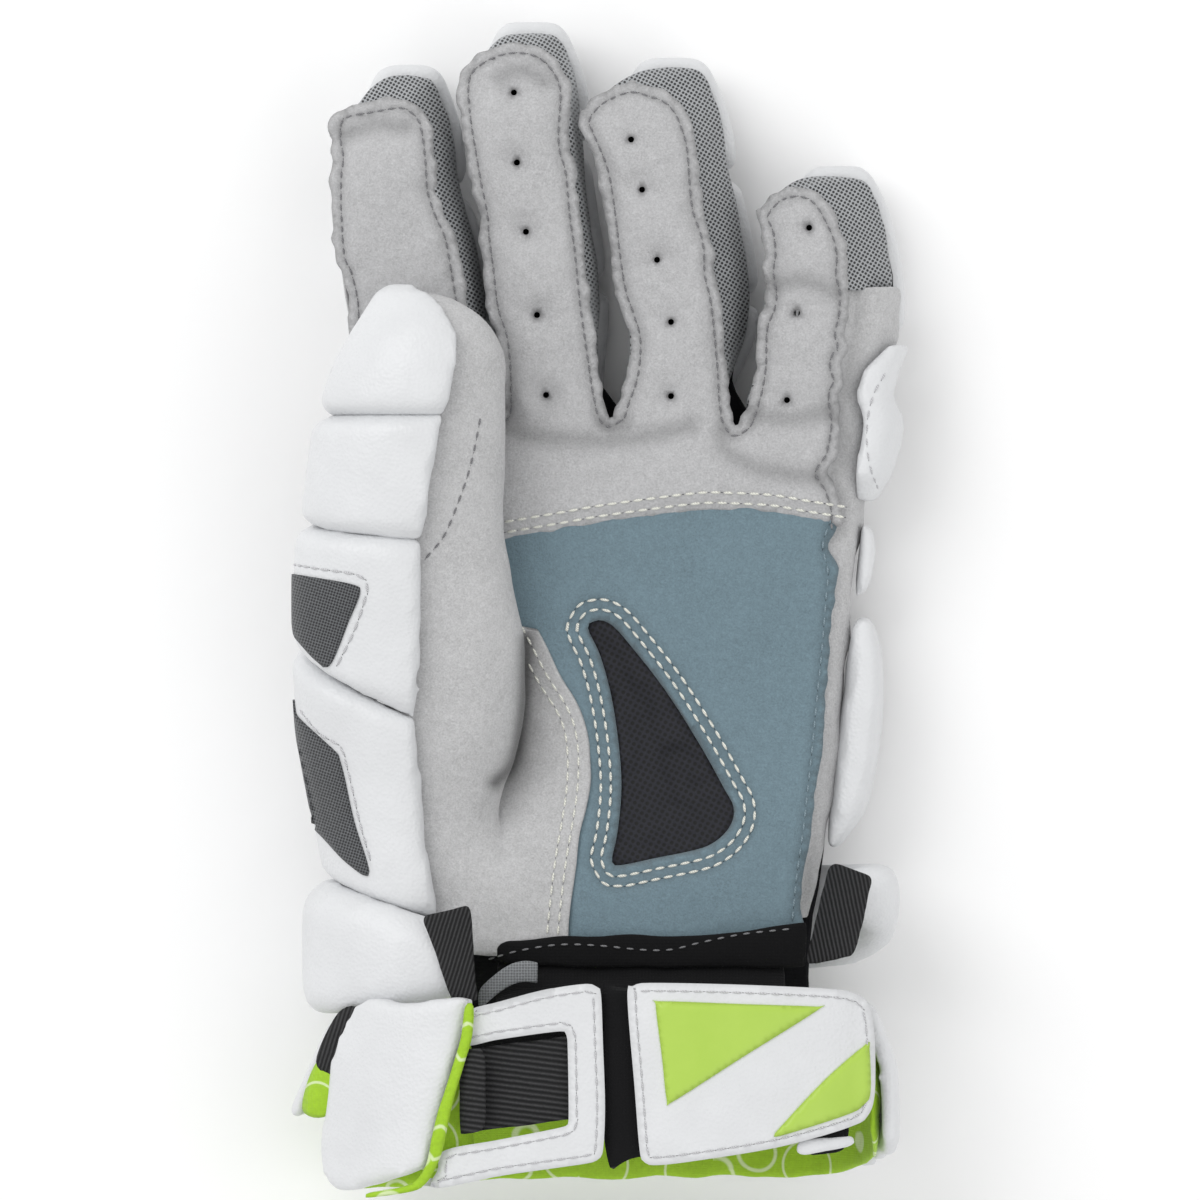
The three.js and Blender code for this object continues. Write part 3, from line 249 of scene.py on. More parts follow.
def subdivided(made, levels):
    step = made.modifiers.new("rounds", "SUBSURF")
    step.levels = step.render_levels = levels
    return applied(made)


def blown_up(made, cap, pressure=4.0):
    """Cloth under pressure from inside, each point kept within the cap of where it was."""
    start = spots(made)
    cloth = made.modifiers.new("foam", "CLOTH")
    cloth.settings.use_pressure = True
    cloth.settings.uniform_pressure_force = pressure
    cloth.settings.effector_weights.gravity = 0
    cloth.settings.quality = 3
    cloth.settings.mass = 0.3
    cloth.settings.tension_stiffness = 12
    cloth.settings.compression_stiffness = 12
    cloth.point_cache.frame_start = 1
    cloth.point_cache.frame_end = 20
    for step in range(1, 21):
        scene.frame_set(step)
    applied(made)
    scene.frame_set(1)
    moved = spots(made) - start
    far = np.linalg.norm(moved, axis=1, keepdims=True)
    moved *= np.minimum(1, cap / np.maximum(far, 1e-9))
    move_to(made, start + moved)


def along(points, step, closed=False):
    """Points at even steps on a smooth curve through the given ones."""
    points = np.array(points, float)
    if closed:
        points = np.vstack([points[-1], points, points[0], points[1]])
    else:
        first = 2 * points[0] - points[1]
        last = 2 * points[-1] - points[-2]
        points = np.vstack([first, points, last])
    dense = []
    for a, b, c, d in zip(points, points[1:], points[2:], points[3:]):
        for t in np.arange(0, 1, 0.1):
            dense.append(
                0.5
                * (
                    2 * b
                    + (c - a) * t
                    + (2 * a - 5 * b + 4 * c - d) * t**2
                    + (3 * b - a - 3 * c + d) * t**3
                )
            )
    dense.append(points[-2])
    dense = np.array(dense)
    run = np.concatenate([[0], np.cumsum(np.linalg.norm(np.diff(dense, axis=0), axis=1))])
    count = max(int(round(run[-1] / step)), 3)
    at = np.linspace(0, run[-1], count + 1)
    if closed:
        at = at[:-1]
    return np.column_stack([np.interp(at, run, dense[:, k]) for k in range(dense.shape[1])])


def reach_to(lines):
    """A lookup of how far a place on the floor plan is from the nearest of some lines."""
    points = np.vstack([along(line, 0.0006) for line in lines])
    tree = kdtree.KDTree(len(points))
    for i, (x, y) in enumerate(points[:, :2]):
        tree.insert((x, y, 0), i)
    tree.balance()
    return lambda x, y: tree.find((x, y, 0))[2]


def mark(made, name, values):
    layer = made.data.attributes.new(name, "FLOAT", "POINT")
    layer.data.foreach_set("value", np.asarray(values, np.float32))


def channelled(made, lines, depth=CHANNEL_DEPTH, width=CHANNEL_WIDTH, under=True):
    """Presses sewn channels into a pad from below or from above, along lines on the plan, and paints
    shade into them.
    """
    places = spots(made)
    facing = directions(made)
    far = reach_to(lines)
    pull = np.array([math.exp(-((far(x, y) / width) ** 2)) for x, y, _ in places])
    side = np.clip(-facing[:, 2] if under else facing[:, 2], 0, 1) ** 0.5
    places[:, 2] += (1 if under else -1) * depth * pull * side
    move_to(made, places)
    # Painted shade in the channels, which the finish darkens by.
    mark(made, "painted_shade", pull * side * 0.5)


def finished(made, body_finish, slot, *nodes, smooth=True):
    """Gives a piece its finish and its body, and lets it stand for its solids."""
    made.data.materials.clear()
    made.data.materials.append(body_finish)
    made.data.shade_smooth() if smooth else made.data.shade_flat()
    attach(made, "root")
    if nodes:
        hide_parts(*nodes)
    return made


def sewn_pad(
    node, body_finish, slot, lines=(), swell=PAD_SWELL, voxel=PAD_VOXEL, under=True, rounds=4, shaped=None
):
    """A foam pad: its solid a little smaller, remeshed, rounded, blown up and channelled."""
    shape = merged(node)
    shape.normal_update()
    for v in shape.verts:
        v.co -= v.normal * PAD_SHRINK
    made = as_object(node + "_foam", shape)
    if shaped:
        move_to(made, [shaped(*p) for p in spots(made)])
    step = made.modifiers.new("foam", "REMESH")
    step.mode = "VOXEL"
    step.voxel_size = voxel
    smooth = made.modifiers.new("rounded", "SMOOTH")
    smooth.factor = 0.5
    smooth.iterations = rounds
    applied(made)
    blown_up(made, swell)
    places = spots(made)
    places[:, 2] = np.maximum(places[:, 2], 0.0)
    move_to(made, places)
    subdivided(made, 1)
    if len(lines):
        channelled(made, lines, under=under)
    finished(made, body_finish, slot, node)
    return made


white_leather = leather_finish("white_leather", (0.86, 0.865, 0.872))

FINGER_PADS = {
    "index": ["base_pad", "mid_pad", "tip_pad"],
    "middle": ["base_pad", "mid_pad", "tip_pad"],
    "ring": ["base_pad", "mid_pad", "tip_pad"],
    "little": ["base_pad", "tip_pad"],
}
for finger, kinds in FINGER_PADS.items():
    for kind in [*kinds, "knuckle_pad"]:
        node = finger + "_" + kind
        low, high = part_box(node)
        middle_x = (low.x + high.x) / 2
        lines = []
        if kind == "knuckle_pad":
            cross = (low.y + high.y) / 2
            lines = [[(low.x, cross), (middle_x, cross), (high.x, cross)]]
        sewn_pad(node, white_leather, "pad_leather", lines)

BACKHAND_CHANNELS = [0.26, 0.52, 0.77]
for node in ["backhand_pad_thumb_side", "backhand_pad_middle", "backhand_pad_little_side"]:
    low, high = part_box(node)
    lines = []
    for share in BACKHAND_CHANNELS:
        y = low.y + (high.y - low.y) * share
        lines.append([(low.x, y), ((low.x + high.x) / 2, y), (high.x, y)])
    sewn_pad(node, white_leather, "pad_leather", lines)


# Liner under the hand and fingers.
# A black stretch knit that carries the back pads and runs on into the cuff.
def knit_finish(name, colour, pitch=0.0011):
    material, tree, shader = finish_named(
        name, colour, 0.9, Sheen_Weight=0.03, Specular_IOR_Level=0.2
    )
    place = object_place(tree)
    loops = put(
        tree,
        "ShaderNodeTexVoronoi",
        {"Vector": place, "Scale": 1 / pitch, "Randomness": 0.12},
    ).outputs["Distance"]
    fuzz = grain(tree, place, 1800, 4)
    toned = between(tree, fuzz, [c * 0.8 for c in colour], [min(c * 1.35, 1) for c in colour])
    tree.links.new(toned, shader.inputs["Base Color"])
    normal = raised(tree, loops, 0.0003, 0.7)
    tree.links.new(raised(tree, fuzz, 0.0001, 0.6, normal), shader.inputs["Normal"])
    return material


def soft_cloth(node, cloth_finish, slot, levels=2, ripple=0.0004, ripple_size=0.011, shaped=None):
    """A sewn cloth wall: its solid rounded, with soft ripples through both of its faces."""
    made = subdivided(as_object(node + "_cloth", merged(node)), levels)
    places = spots(made)
    if shaped:
        places = np.array([shaped(*p) for p in places])
    shift = np.array(
        [[noise.noise(Vector(p) / ripple_size + Vector((k, 0, 0))) for k in (3, 9, 17)] for p in places]
    )
    move_to(made, places + shift * ripple)
    return finished(made, cloth_finish, slot, node)


def cut_flat(made, width, length, share, held, rests_on, extra=()):
    """Takes a piece's flat sheet in millimetres, the share of it the piece fills, how it is held and what
    it rests on, and does nothing with them.
    """
    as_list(extra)


liner_knit = knit_finish("liner_knit", (0.09, 0.09, 0.10))
liner = soft_cloth("back_liner", liner_knit, "liner_cloth", levels=1)
LINER_TUCK = 0.0024
places = spots(liner)
facing = directions(liner)
on_fingers = np.clip((places[:, 1:2] - 0.056) / 0.012, 0, 1)
places[:, :2] -= facing[:, :2] * LINER_TUCK * on_fingers
move_to(liner, places)
cut_flat(liner, 154, 290, 0.71, "stretched", ["backhand_pad_middle", "wrist_roll"])


# Finger gussets.
# Walls of light gray spacer mesh round each finger, sewn to the liner below and to the suede above.
def open_mesh_finish(name, colour, hole, pitch, hole_size=0.36, turn=0.0, rough=0.8):
    """A knitted or woven mesh with rows of small holes, in even rows where it faces up."""
    material, tree, shader = finish_named(name, colour, rough, Sheen_Weight=0.1)
    place = tree.nodes.new("ShaderNodeTexCoord")
    spot = place.outputs["Object"]
    facing = put(tree, "ShaderNodeSeparateXYZ", {0: place.outputs["Normal"]}).outputs[2]
    steep = put(tree, "ShaderNodeMath", {0: facing}, operation="ABSOLUTE").outputs[0]
    flat = put(tree, "ShaderNodeMapRange", {"Value": steep, 1: 0.22, 2: 0.30}).outputs["Result"]
    turned = put(tree, "ShaderNodeMapping", {"Vector": spot, "Rotation": (0, 0, turn)}).outputs["Vector"]
    cells = [
        put(
            tree,
            "ShaderNodeTexVoronoi",
            {"Vector": turned, "Scale": 1 / pitch, "Randomness": 0.1},
            voronoi_dimensions=kind,
        ).outputs["Distance"]
        for kind in ("3D", "2D")
    ]
    mix = put(tree, "ShaderNodeMix", {0: flat, 2: cells[0], 3: cells[1]})
    cell = mix.outputs[0]
    edge = put(
        tree,
        "ShaderNodeMapRange",
        {"Value": cell, 1: hole_size * 0.75, 2: hole_size * 1.25, 3: 1.0, 4: 0.0},
    ).outputs["Result"]
    fibre = grain(tree, spot, 1500, 4)
    clouds = grain(tree, spot, 70)
    yarn = between(tree, fibre, [c * 0.78 for c in colour], [min(c * 1.2, 1) for c in colour])
    toned = between(tree, clouds, [c * 0.9 for c in colour], yarn)
    tree.links.new(between(tree, edge, toned, hole), shader.inputs["Base Color"])
    normal = raised(tree, cell, 0.0004, 0.7)
    tree.links.new(raised(tree, fibre, 0.00012, 0.5, normal), shader.inputs["Normal"])
    return material


gusset_mesh = open_mesh_finish(
    "gusset_mesh", (0.68, 0.69, 0.70), (0.11, 0.11, 0.12), 0.00105, hole_size=0.36, turn=0.5
)


def side_let_down(x, y, z):
    """The little finger's outer wall runs down to where the suede of the side begins."""
    share = min(max((0.106 - y) / 0.011, 0.0), 1.0) if x > 0.066 else 0.0
    return (x, y - 0.0066 * share, z)


gussets = {
    finger: soft_cloth(
        finger + "_gusset",
        gusset_mesh,
        "gusset_mesh",
        ripple=0.0007,
        shaped=side_let_down if finger == "little" else None,
    )
    for finger in FINGER_PADS
}
GUSSET_FLATS = {
    "index": (26, 215, 0.42),
    "middle": (26, 250, 0.60),
    "ring": (26, 250, 0.60),
    "little": (24, 170, 0.53),
}
for finger, (width, length, share) in GUSSET_FLATS.items():
    cut_flat(gussets[finger], width, length, share, "stretched", [liner, finger + "_tip_pad"])


# Suede front of the fingers and upper palm.
# One cut of light gray microsuede with wavy raw seams down each finger, punched with vent holes,
# and drawn into soft folds where the fingers bend.
UNIT = 0.00028
SUEDE_WALL = 0.0012
SEAM_WIDTH = 0.0011
SEAM_DEPTH = 0.0007
HOLE_RADIUS = 0.00085


def drafted(points):
    """Places on the cutting pattern, whose units are 0.28 mm from its upper left corner."""
    return [((u - 600) * UNIT - 0.00017, (420 - v) * UNIT + 0.05106) for u, v in points]


def suede_finish(name, colour):
    """Brushed microsuede: a short mottled nap, paler where it is rubbed, with painted shade in folds and
    seams.
    """
    material, tree, shader = finish_named(
        name, colour, 0.93, Sheen_Weight=0.22, Sheen_Roughness=0.6, Specular_IOR_Level=0.25
    )
    place = object_place(tree)
    nap = crisp(tree, grain(tree, place, 1700, 4, 0.8), 0.36, 0.64)
    brushed = crisp(tree, grain(tree, place, 520, 5, 0.75), 0.3, 0.7)
    clouds = grain(tree, place, 55, 4)
    fine = between(tree, nap, [c * 0.84 for c in colour], [min(c * 1.15, 1) for c in colour])
    coarse = between(tree, brushed, [c * 0.90 for c in colour], [min(c * 1.09, 1) for c in colour])
    toned = put(tree, "ShaderNodeMix", {"Factor": 0.5}, data_type="RGBA")
    tree.links.new(fine, toned.inputs[6])
    tree.links.new(coarse, toned.inputs[7])
    worn = put(tree, "ShaderNodeMapRange", {"Value": clouds, 1: 0.35, 2: 0.7, 3: 0.0, 4: 0.22})
    rubbed = put(tree, "ShaderNodeMix", {"Factor": worn.outputs["Result"]}, data_type="RGBA")
    tree.links.new(toned.outputs[2], rubbed.inputs[6])
    rubbed.inputs[7].default_value = (*linear([min(c * 1.12, 1) for c in colour]), 1)
    # Painted shade: the suede is darkened in folds, along seams and at cut edges.
    painted_shade = put(tree, "ShaderNodeAttribute", attribute_name="painted_shade").outputs["Fac"]
    shaded = between(tree, painted_shade, rubbed.outputs[2], [c * 0.45 for c in colour])
    tree.links.new(shaded, shader.inputs["Base Color"])
    normal = raised(tree, clouds, 0.0011, 0.6)
    normal = raised(tree, brushed, 0.0003, 0.55, normal)
    tree.links.new(raised(tree, nap, 0.00014, 0.7, normal), shader.inputs["Normal"])
    return material


gray_suede = suede_finish("gray_suede", (0.755, 0.755, 0.758))
finger_suede = suede_finish("finger_suede", (0.725, 0.725, 0.73))
BLUR_STEPS = 6


def seen_from_above(*made, blur=0.003):
    """A lookup of the top height of some pieces at a place on the plan, a little smoothed."""
    shape = bmesh.new()
    for one in made:
        if isinstance(one, str):
            shape.from_mesh(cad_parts[one].data)
        else:
            done = one.evaluated_get(bpy.context.evaluated_depsgraph_get())
            shape.from_mesh(done.data)
    surface = BVHTree.FromBMesh(shape)
    shape.free()
    ring = [(0.0, 0.0)]
    for k in range(BLUR_STEPS if blur else 0):
        turn = 2 * math.pi * k / BLUR_STEPS
        ring.append((blur * math.cos(turn), blur * math.sin(turn)))
    down = Vector((0, 0, -1))

    def height(x, y):
        found = []
        for dx, dy in ring:
            hit = surface.ray_cast(Vector((x + dx, y + dy, 0.2)), down)[0]
            if hit is not None:
                found.append(hit.z)
        if found:
            return max(sum(found) / len(found), max(found) - 0.004)
        return surface.find_nearest(Vector((x, y, 0.045)))[0].z

    return height


def inside(points, loop):
    """Which of the points on the plan lie within a closed loop."""
    x, y = points[:, 0:1], points[:, 1:2]
    x0, y0 = loop[:, 0], loop[:, 1]
    x1, y1 = np.roll(x0, -1), np.roll(y0, -1)
    crosses = (y0 > y) != (y1 > y)
    at = x0 + (y - y0) / np.where(y1 == y0, 1e-12, y1 - y0) * (x1 - x0)
    return (np.sum(crosses & (x < at), axis=1) % 2).astype(bool)


def outward(loop, closed=True):
    """The direction square to a line on the plan at each of its points."""
    if closed:
        run = np.roll(loop, -1, axis=0) - np.roll(loop, 1, axis=0)
    else:
        run = np.gradient(loop, axis=0)
    run /= np.maximum(np.linalg.norm(run, axis=1, keepdims=True), 1e-12)
    return np.column_stack([run[:, 1], -run[:, 0]])


def wavy(loop, size, wave, seed, above=-1.0):
    """A loop on the plan whose edge wanders in and out like a raw seam, above one height."""
    shift = [
        noise.noise(Vector((x / wave, y / wave, seed))) * min(max((y - above) / 0.006, 0), 1)
        for x, y in loop
    ]
    return loop + outward(loop) * np.array(shift)[:, None] * size


def inked(points, lines, depth, width):
    """How far folds along some lines press down at each point."""
    if not lines:
        return np.zeros(len(points))
    far = reach_to(lines)
    return np.array([depth * math.exp(-((far(x, y) / width) ** 2)) for x, y in points])


def cut_cloth(
    name,
    outline,
    height,
    step=0.0017,
    openings=(),
    turn=0.0015,
    turn_width=0.004,
    ruffle=0.0,
    folds=(),
    fold_depth=0.0012,
    fold_width=0.0022,
    seams=(),
    ripple=0.0004,
    wall=SUEDE_WALL,
    lift=0.0,
):
    """A sheet cut to an outline on the plan and laid on a height, with turned edges, folds that
    bend it softly, and seams whose thread draws it in."""
    edge = np.array(outline)
    low, high = edge.min(axis=0), edge.max(axis=0)
    across = np.arange(low[0], high[0], step)
    up = np.arange(low[1], high[1], step * 0.87)
    grid = np.array([(x + (step / 2 if j % 2 else 0), y) for j, y in enumerate(up) for x in across])
    loops = [edge, *[np.array(o) for o in openings]]
    keep = inside(grid, edge)
    for o in loops[1:]:
        keep &= ~inside(grid, o)
    grid = grid[keep]
    rim = kdtree.KDTree(sum(len(l) for l in loops))
    i = 0
    for loop in loops:
        for x, y in loop:
            rim.insert((x, y, 0), i)
            i += 1
    rim.balance()
    far = np.array([rim.find((x, y, 0))[2] for x, y in grid])
    grid = grid[far > step * 0.6]
    corners = np.vstack([*loops, grid])
    sides = []
    start = 0
    for loop in loops:
        count = len(loop)
        sides += [(start + k, start + (k + 1) % count) for k in range(count)]
        start += count
    verts, _, faces, *_ = delaunay_2d_cdt([Vector(c) for c in corners], sides, [], 1, 1e-7)
    plan = np.array([v[:] for v in verts])
    faces = np.array([f for f in faces if len(f) == 3])
    centres = plan[faces].mean(axis=1)
    keep = inside(centres, edge)
    for o in loops[1:]:
        keep &= ~inside(centres, o)
    faces = faces[keep]
    used = np.unique(faces)
    place = np.full(len(plan), -1)
    place[used] = np.arange(len(used))
    plan = plan[used]
    faces = place[faces]
    far = np.array([rim.find((x, y, 0))[2] for x, y in plan])
    turned = turn * np.clip(1 - far / turn_width, 0, 1) ** 2
    z = np.array([height(x, y) for x, y in plan]) + lift - turned
    z -= inked(plan, folds, fold_depth, fold_width)
    drawn = inked(plan, seams, 1.0, SEAM_WIDTH)
    z -= SEAM_DEPTH * drawn
    soft = np.array([noise.noise(Vector((x, y, 0)) / 0.014) for x, y in plan])
    small = np.array([noise.noise(Vector((x, y, 0.5)) / 0.006) for x, y in plan])
    z += ripple * soft + ripple * 0.4 * small
    if ruffle:
        lively = np.array([noise.noise(Vector((x, y, 0.2)) / 0.0045) for x, y in plan])
        z += ruffle * lively * np.clip(1 - far / (turn_width * 1.4), 0, 1)
    made = as_object(name + "_cut", (np.column_stack([plan, z]).tolist(), faces.tolist()))
    wall_step = made.modifiers.new("wall", "SOLIDIFY")
    wall_step.thickness = wall
    wall_step.offset = -1
    # Painted shade in the folds, along the seams and at the turned cut edge, which the finishes darken
    # by.
    shade = 0.35 * inked(plan, folds, 1.0, fold_width * 0.8)
    mark(made, "painted_shade", shade + 0.3 * drawn + 0.25 * np.clip(1 - far / 0.0009, 0, 1))
    return made


def hole_at(place, radius):
    return [
        (
            place[0] + radius * math.cos(2 * math.pi * k / 12),
            place[1] + radius * math.sin(2 * math.pi * k / 12),
        )
        for k in range(12)
    ]


FRONT_CUT = drafted(
    [(448, 548), (405, 490), (374, 430), (356, 370), (349, 325), (347, 300), (341, 275), (334, 258)]
    + [(331, 215), (331, 178), (333, 158), (330, 140), (332, 118), (345, 107), (372, 102)]
    + [(397, 98), (412, 101), (426, 113), (432, 130), (436, 160), (438, 190), (445, 212)]
    + [(455, 235), (460, 260), (465, 290), (469, 315), (478, 360), (487, 402), (495, 418)]
    + [(501, 402), (498, 345), (488, 310), (483, 270), (479, 240), (477, 215), (471, 185)]
    + [(465, 150), (461, 125), (458, 95), (460, 75), (468, 62), (482, 52), (500, 45)]
    + [(518, 43), (536, 46), (552, 55), (566, 74), (571, 95), (569, 130), (570, 150)]
    + [(576, 172), (580, 215), (585, 250), (590, 300), (597, 350), (604, 396), (611, 418)]
    + [(619, 400), (628, 372), (630, 340), (624, 318), (615, 290), (609, 250), (605, 215)]
    + [(600, 182), (594, 162), (584, 138), (579, 124), (583, 110), (597, 95), (615, 86)]
    + [(632, 82), (650, 86), (670, 94), (682, 106), (691, 125), (697, 148), (700, 185)]
    + [(703, 210), (710, 230), (714, 250), (715, 275), (720, 295), (724, 325), (728, 370)]
    + [(730, 404), (736, 426), (746, 410), (755, 372), (757, 328), (766, 300), (763, 272)]
    + [(765, 255), (763, 235), (757, 216), (768, 198), (781, 189), (797, 186), (811, 189)]
    + [(823, 198), (834, 216), (843, 236), (847, 256), (846, 275), (850, 290), (849, 318)]
    + [(845, 334), (848, 348), (840, 364), (845, 381), (839, 396), (842, 420), (840, 440)]
    + [(835, 461), (826, 473), (834, 484), (841, 506), (842, 526), (820, 523), (800, 519)]
    + [(770, 514), (730, 512), (700, 512), (650, 518), (600, 525), (560, 532), (508, 541)]
)
VENT_HOLES = drafted(
    [(514, 93), (517, 163), (526, 232), (537, 315), (546, 395), (631, 140), (642, 190)]
    + [(657, 260), (671, 322), (671, 396), (809, 228), (797, 313), (787, 400)]
)
FRONT_FOLDS = [
    drafted(line)
    for line in [
        [(500, 428), (540, 437), (600, 440), (650, 436), (690, 426)],
        [(604, 424), (612, 431), (626, 428)],
        [(722, 432), (726, 450), (752, 466), (785, 474), (826, 479)],
        [(752, 414), (790, 419), (832, 412)],
        [(345, 135), (375, 125), (405, 128)],
        [(500, 78), (520, 70), (545, 82)],
        [(762, 288), (800, 282), (835, 292)],
    ]
]


def beside(line, offset, closed=False):
    """A line drawn beside another on the plan."""
    even = along(line, 0.002, closed)
    return even + outward(even, closed) * offset


FINGER_SEAM = beside(FRONT_CUT[:-9], 0.0029)
front_edge = wavy(along(FRONT_CUT, 0.0012, closed=True), 0.0011, 0.0036, 1.5, above=0.026)
front = cut_cloth(
    "suede_front",
    front_edge,
    seen_from_above("suede_front", blur=0.0045),
    step=0.0014,
    openings=[hole_at(p, HOLE_RADIUS) for p in VENT_HOLES],
    turn=0.0030,
    turn_width=0.0072,
    ruffle=0.0011,
    folds=FRONT_FOLDS,
    fold_depth=0.0013,
    fold_width=0.0032,
    seams=[FINGER_SEAM],
    ripple=0.0008,
)
finished(front, finger_suede, "suede", "suede_front")


# Thread.
# Bonded thread in straight rows of stitches; a stitch is a short bead that lies along its row.
def stitch_tree():
    """Turns edge lines into rows of stitches of one spacing, length and thread."""
    tree = bpy.data.node_groups.new("stitch_rows", "GeometryNodeTree")
    face = tree.interface
    face.new_socket("Rows", in_out="INPUT", socket_type="NodeSocketGeometry")
    spacing = face.new_socket("Spacing", in_out="INPUT", socket_type="NodeSocketFloat")
    length = face.new_socket("Length", in_out="INPUT", socket_type="NodeSocketFloat")
    radius = face.new_socket("Radius", in_out="INPUT", socket_type="NodeSocketFloat")
    thread = face.new_socket("Thread", in_out="INPUT", socket_type="NodeSocketMaterial")
    dark = face.new_socket("Needle holes", in_out="INPUT", socket_type="NodeSocketMaterial")
    face.new_socket("Stitches", in_out="OUTPUT", socket_type="NodeSocketGeometry")
    link = tree.links.new
    entry = tree.nodes.new("NodeGroupInput")
    leave = tree.nodes.new("NodeGroupOutput")
    lines = tree.nodes.new("GeometryNodeMeshToCurve")
    points = tree.nodes.new("GeometryNodeCurveToPoints")
    points.mode = "LENGTH"
    turn = tree.nodes.new("FunctionNodeAlignRotationToVector")
    turn.axis = "X"
    bead = tree.nodes.new("GeometryNodeMeshUVSphere")
    bead.inputs["Segments"].default_value = 8
    bead.inputs["Rings"].default_value = 5
    bead.inputs["Radius"].default_value = 1.0
    size = tree.nodes.new("ShaderNodeCombineXYZ")
    half = tree.nodes.new("ShaderNodeMath")
    half.operation = "MULTIPLY"
    half.inputs[1].default_value = 0.5
    dressed = tree.nodes.new("GeometryNodeSetMaterial")
    ends = tree.nodes.new("GeometryNodeMeshUVSphere")
    ends.inputs["Segments"].default_value = 6
    ends.inputs["Rings"].default_value = 4
    ends.inputs["Radius"].default_value = 0.24
    apart = tree.nodes.new("GeometryNodeTransform")
    apart.inputs["Translation"].default_value = (1.22, 0, -0.25)
    inked = tree.nodes.new("GeometryNodeSetMaterial")
    pair = tree.nodes.new("GeometryNodeJoinGeometry")
    laid = tree.nodes.new("GeometryNodeInstanceOnPoints")
    real = tree.nodes.new("GeometryNodeRealizeInstances")
    link(entry.outputs["Rows"], lines.inputs["Mesh"])
    link(lines.outputs["Curve"], points.inputs["Curve"])
    link(entry.outputs["Spacing"], points.inputs["Length"])
    link(points.outputs["Points"], laid.inputs["Points"])
    link(points.outputs["Tangent"], turn.inputs["Vector"])
    link(turn.outputs["Rotation"], laid.inputs["Rotation"])
    link(entry.outputs["Length"], half.inputs[0])
    link(half.outputs[0], size.inputs["X"])
    link(entry.outputs["Radius"], size.inputs["Y"])
    link(entry.outputs["Radius"], size.inputs["Z"])
    link(size.outputs[0], laid.inputs["Scale"])
    link(bead.outputs["Mesh"], dressed.inputs["Geometry"])
    link(entry.outputs["Thread"], dressed.inputs["Material"])
    link(ends.outputs["Mesh"], apart.inputs["Geometry"])
    link(apart.outputs["Geometry"], inked.inputs["Geometry"])
    link(entry.outputs["Needle holes"], inked.inputs["Material"])
    link(dressed.outputs["Geometry"], pair.inputs["Geometry"])
    link(inked.outputs["Geometry"], pair.inputs["Geometry"])
    link(pair.outputs["Geometry"], laid.inputs["Instance"])
    link(laid.outputs["Instances"], real.inputs["Geometry"])
    link(real.outputs["Geometry"], leave.inputs["Stitches"])
    return tree, [s.identifier for s in (spacing, length, radius, thread, dark)]


def thread_finish(name, colour):
    material, tree, shader = finish_named(name, colour, 0.55, Sheen_Weight=0.2)
    place = object_place(tree)
    ply = put(
        tree,
        "ShaderNodeTexWave",
        {"Vector": place, "Scale": 900, "Distortion": 1.5},
        bands_direction="DIAGONAL",
    ).outputs["Fac"]
    toned = between(tree, ply, [c * 0.8 for c in colour], [min(c * 1.05, 1) for c in colour])
    tree.links.new(toned, shader.inputs["Base Color"])
    tree.links.new(raised(tree, ply, 0.0001, 0.7), shader.inputs["Normal"])
    return material


STITCHES, STITCH_INPUTS = stitch_tree()
cream_thread = thread_finish("cream_thread", (0.93, 0.93, 0.89))
gray_thread = thread_finish("gray_thread", (0.50, 0.50, 0.51))
pale_thread = thread_finish("pale_thread", (0.80, 0.80, 0.81))
needle_holes = finish_named("needle_holes", (0.10, 0.10, 0.11), 0.9)[0]


def seam_row(line, height, lift=0.00012, step=0.0012, closed=False):
    """A row that follows a line on the plan over a height."""
    row = along(line, step, closed)
    if closed:
        row = np.vstack([row, row[:1]])
    return [(x, y, height(x, y) + lift) for x, y in row]


def sewn(name, rows, thread, spacing=0.0036, length=0.0029, radius=0.00043):
    """Stitches along some rows, as one piece."""
    places = [p for row in rows for p in row]
    sides = []
    start = 0
    for row in rows:
        sides += [(start + k, start + k + 1) for k in range(len(row) - 1)]
        start += len(row)
    mesh = bpy.data.meshes.new(name)
    mesh.from_pydata(places, sides, [])
    made = bpy.data.objects.new(name, mesh)
    scene.collection.objects.link(made)
    step = made.modifiers.new("stitches", "NODES")
    step.node_group = STITCHES
    for key, value in zip(STITCH_INPUTS, (spacing, length, radius, thread, needle_holes)):
        step[key] = value
    applied(made)
    made.data.shade_smooth()
    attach(made, "root")
    return made


front_height = seen_from_above(front, blur=0)
palm_edge = drafted(
    [(500, 542), (560, 532), (600, 525), (650, 518), (700, 512), (730, 512), (770, 514), (800, 519)]
    + [(838, 525)]
)
front_rows = [
    seam_row(beside(palm_edge, -0.0024), front_height),
    seam_row(beside(palm_edge, -0.0053), front_height),
]
palm_edge_stitches = sewn("front_stitches", front_rows, cream_thread)
finger_stitches = sewn(
    "finger_stitches",
    [seam_row(FINGER_SEAM, front_height)],
    gray_thread,
    spacing=0.0031,
    length=0.0022,
    radius=0.00034,
)
cut_flat(
    front, 147, 143, 0.75, "stretched", list(gussets.values()), [palm_edge_stitches, finger_stitches]
)


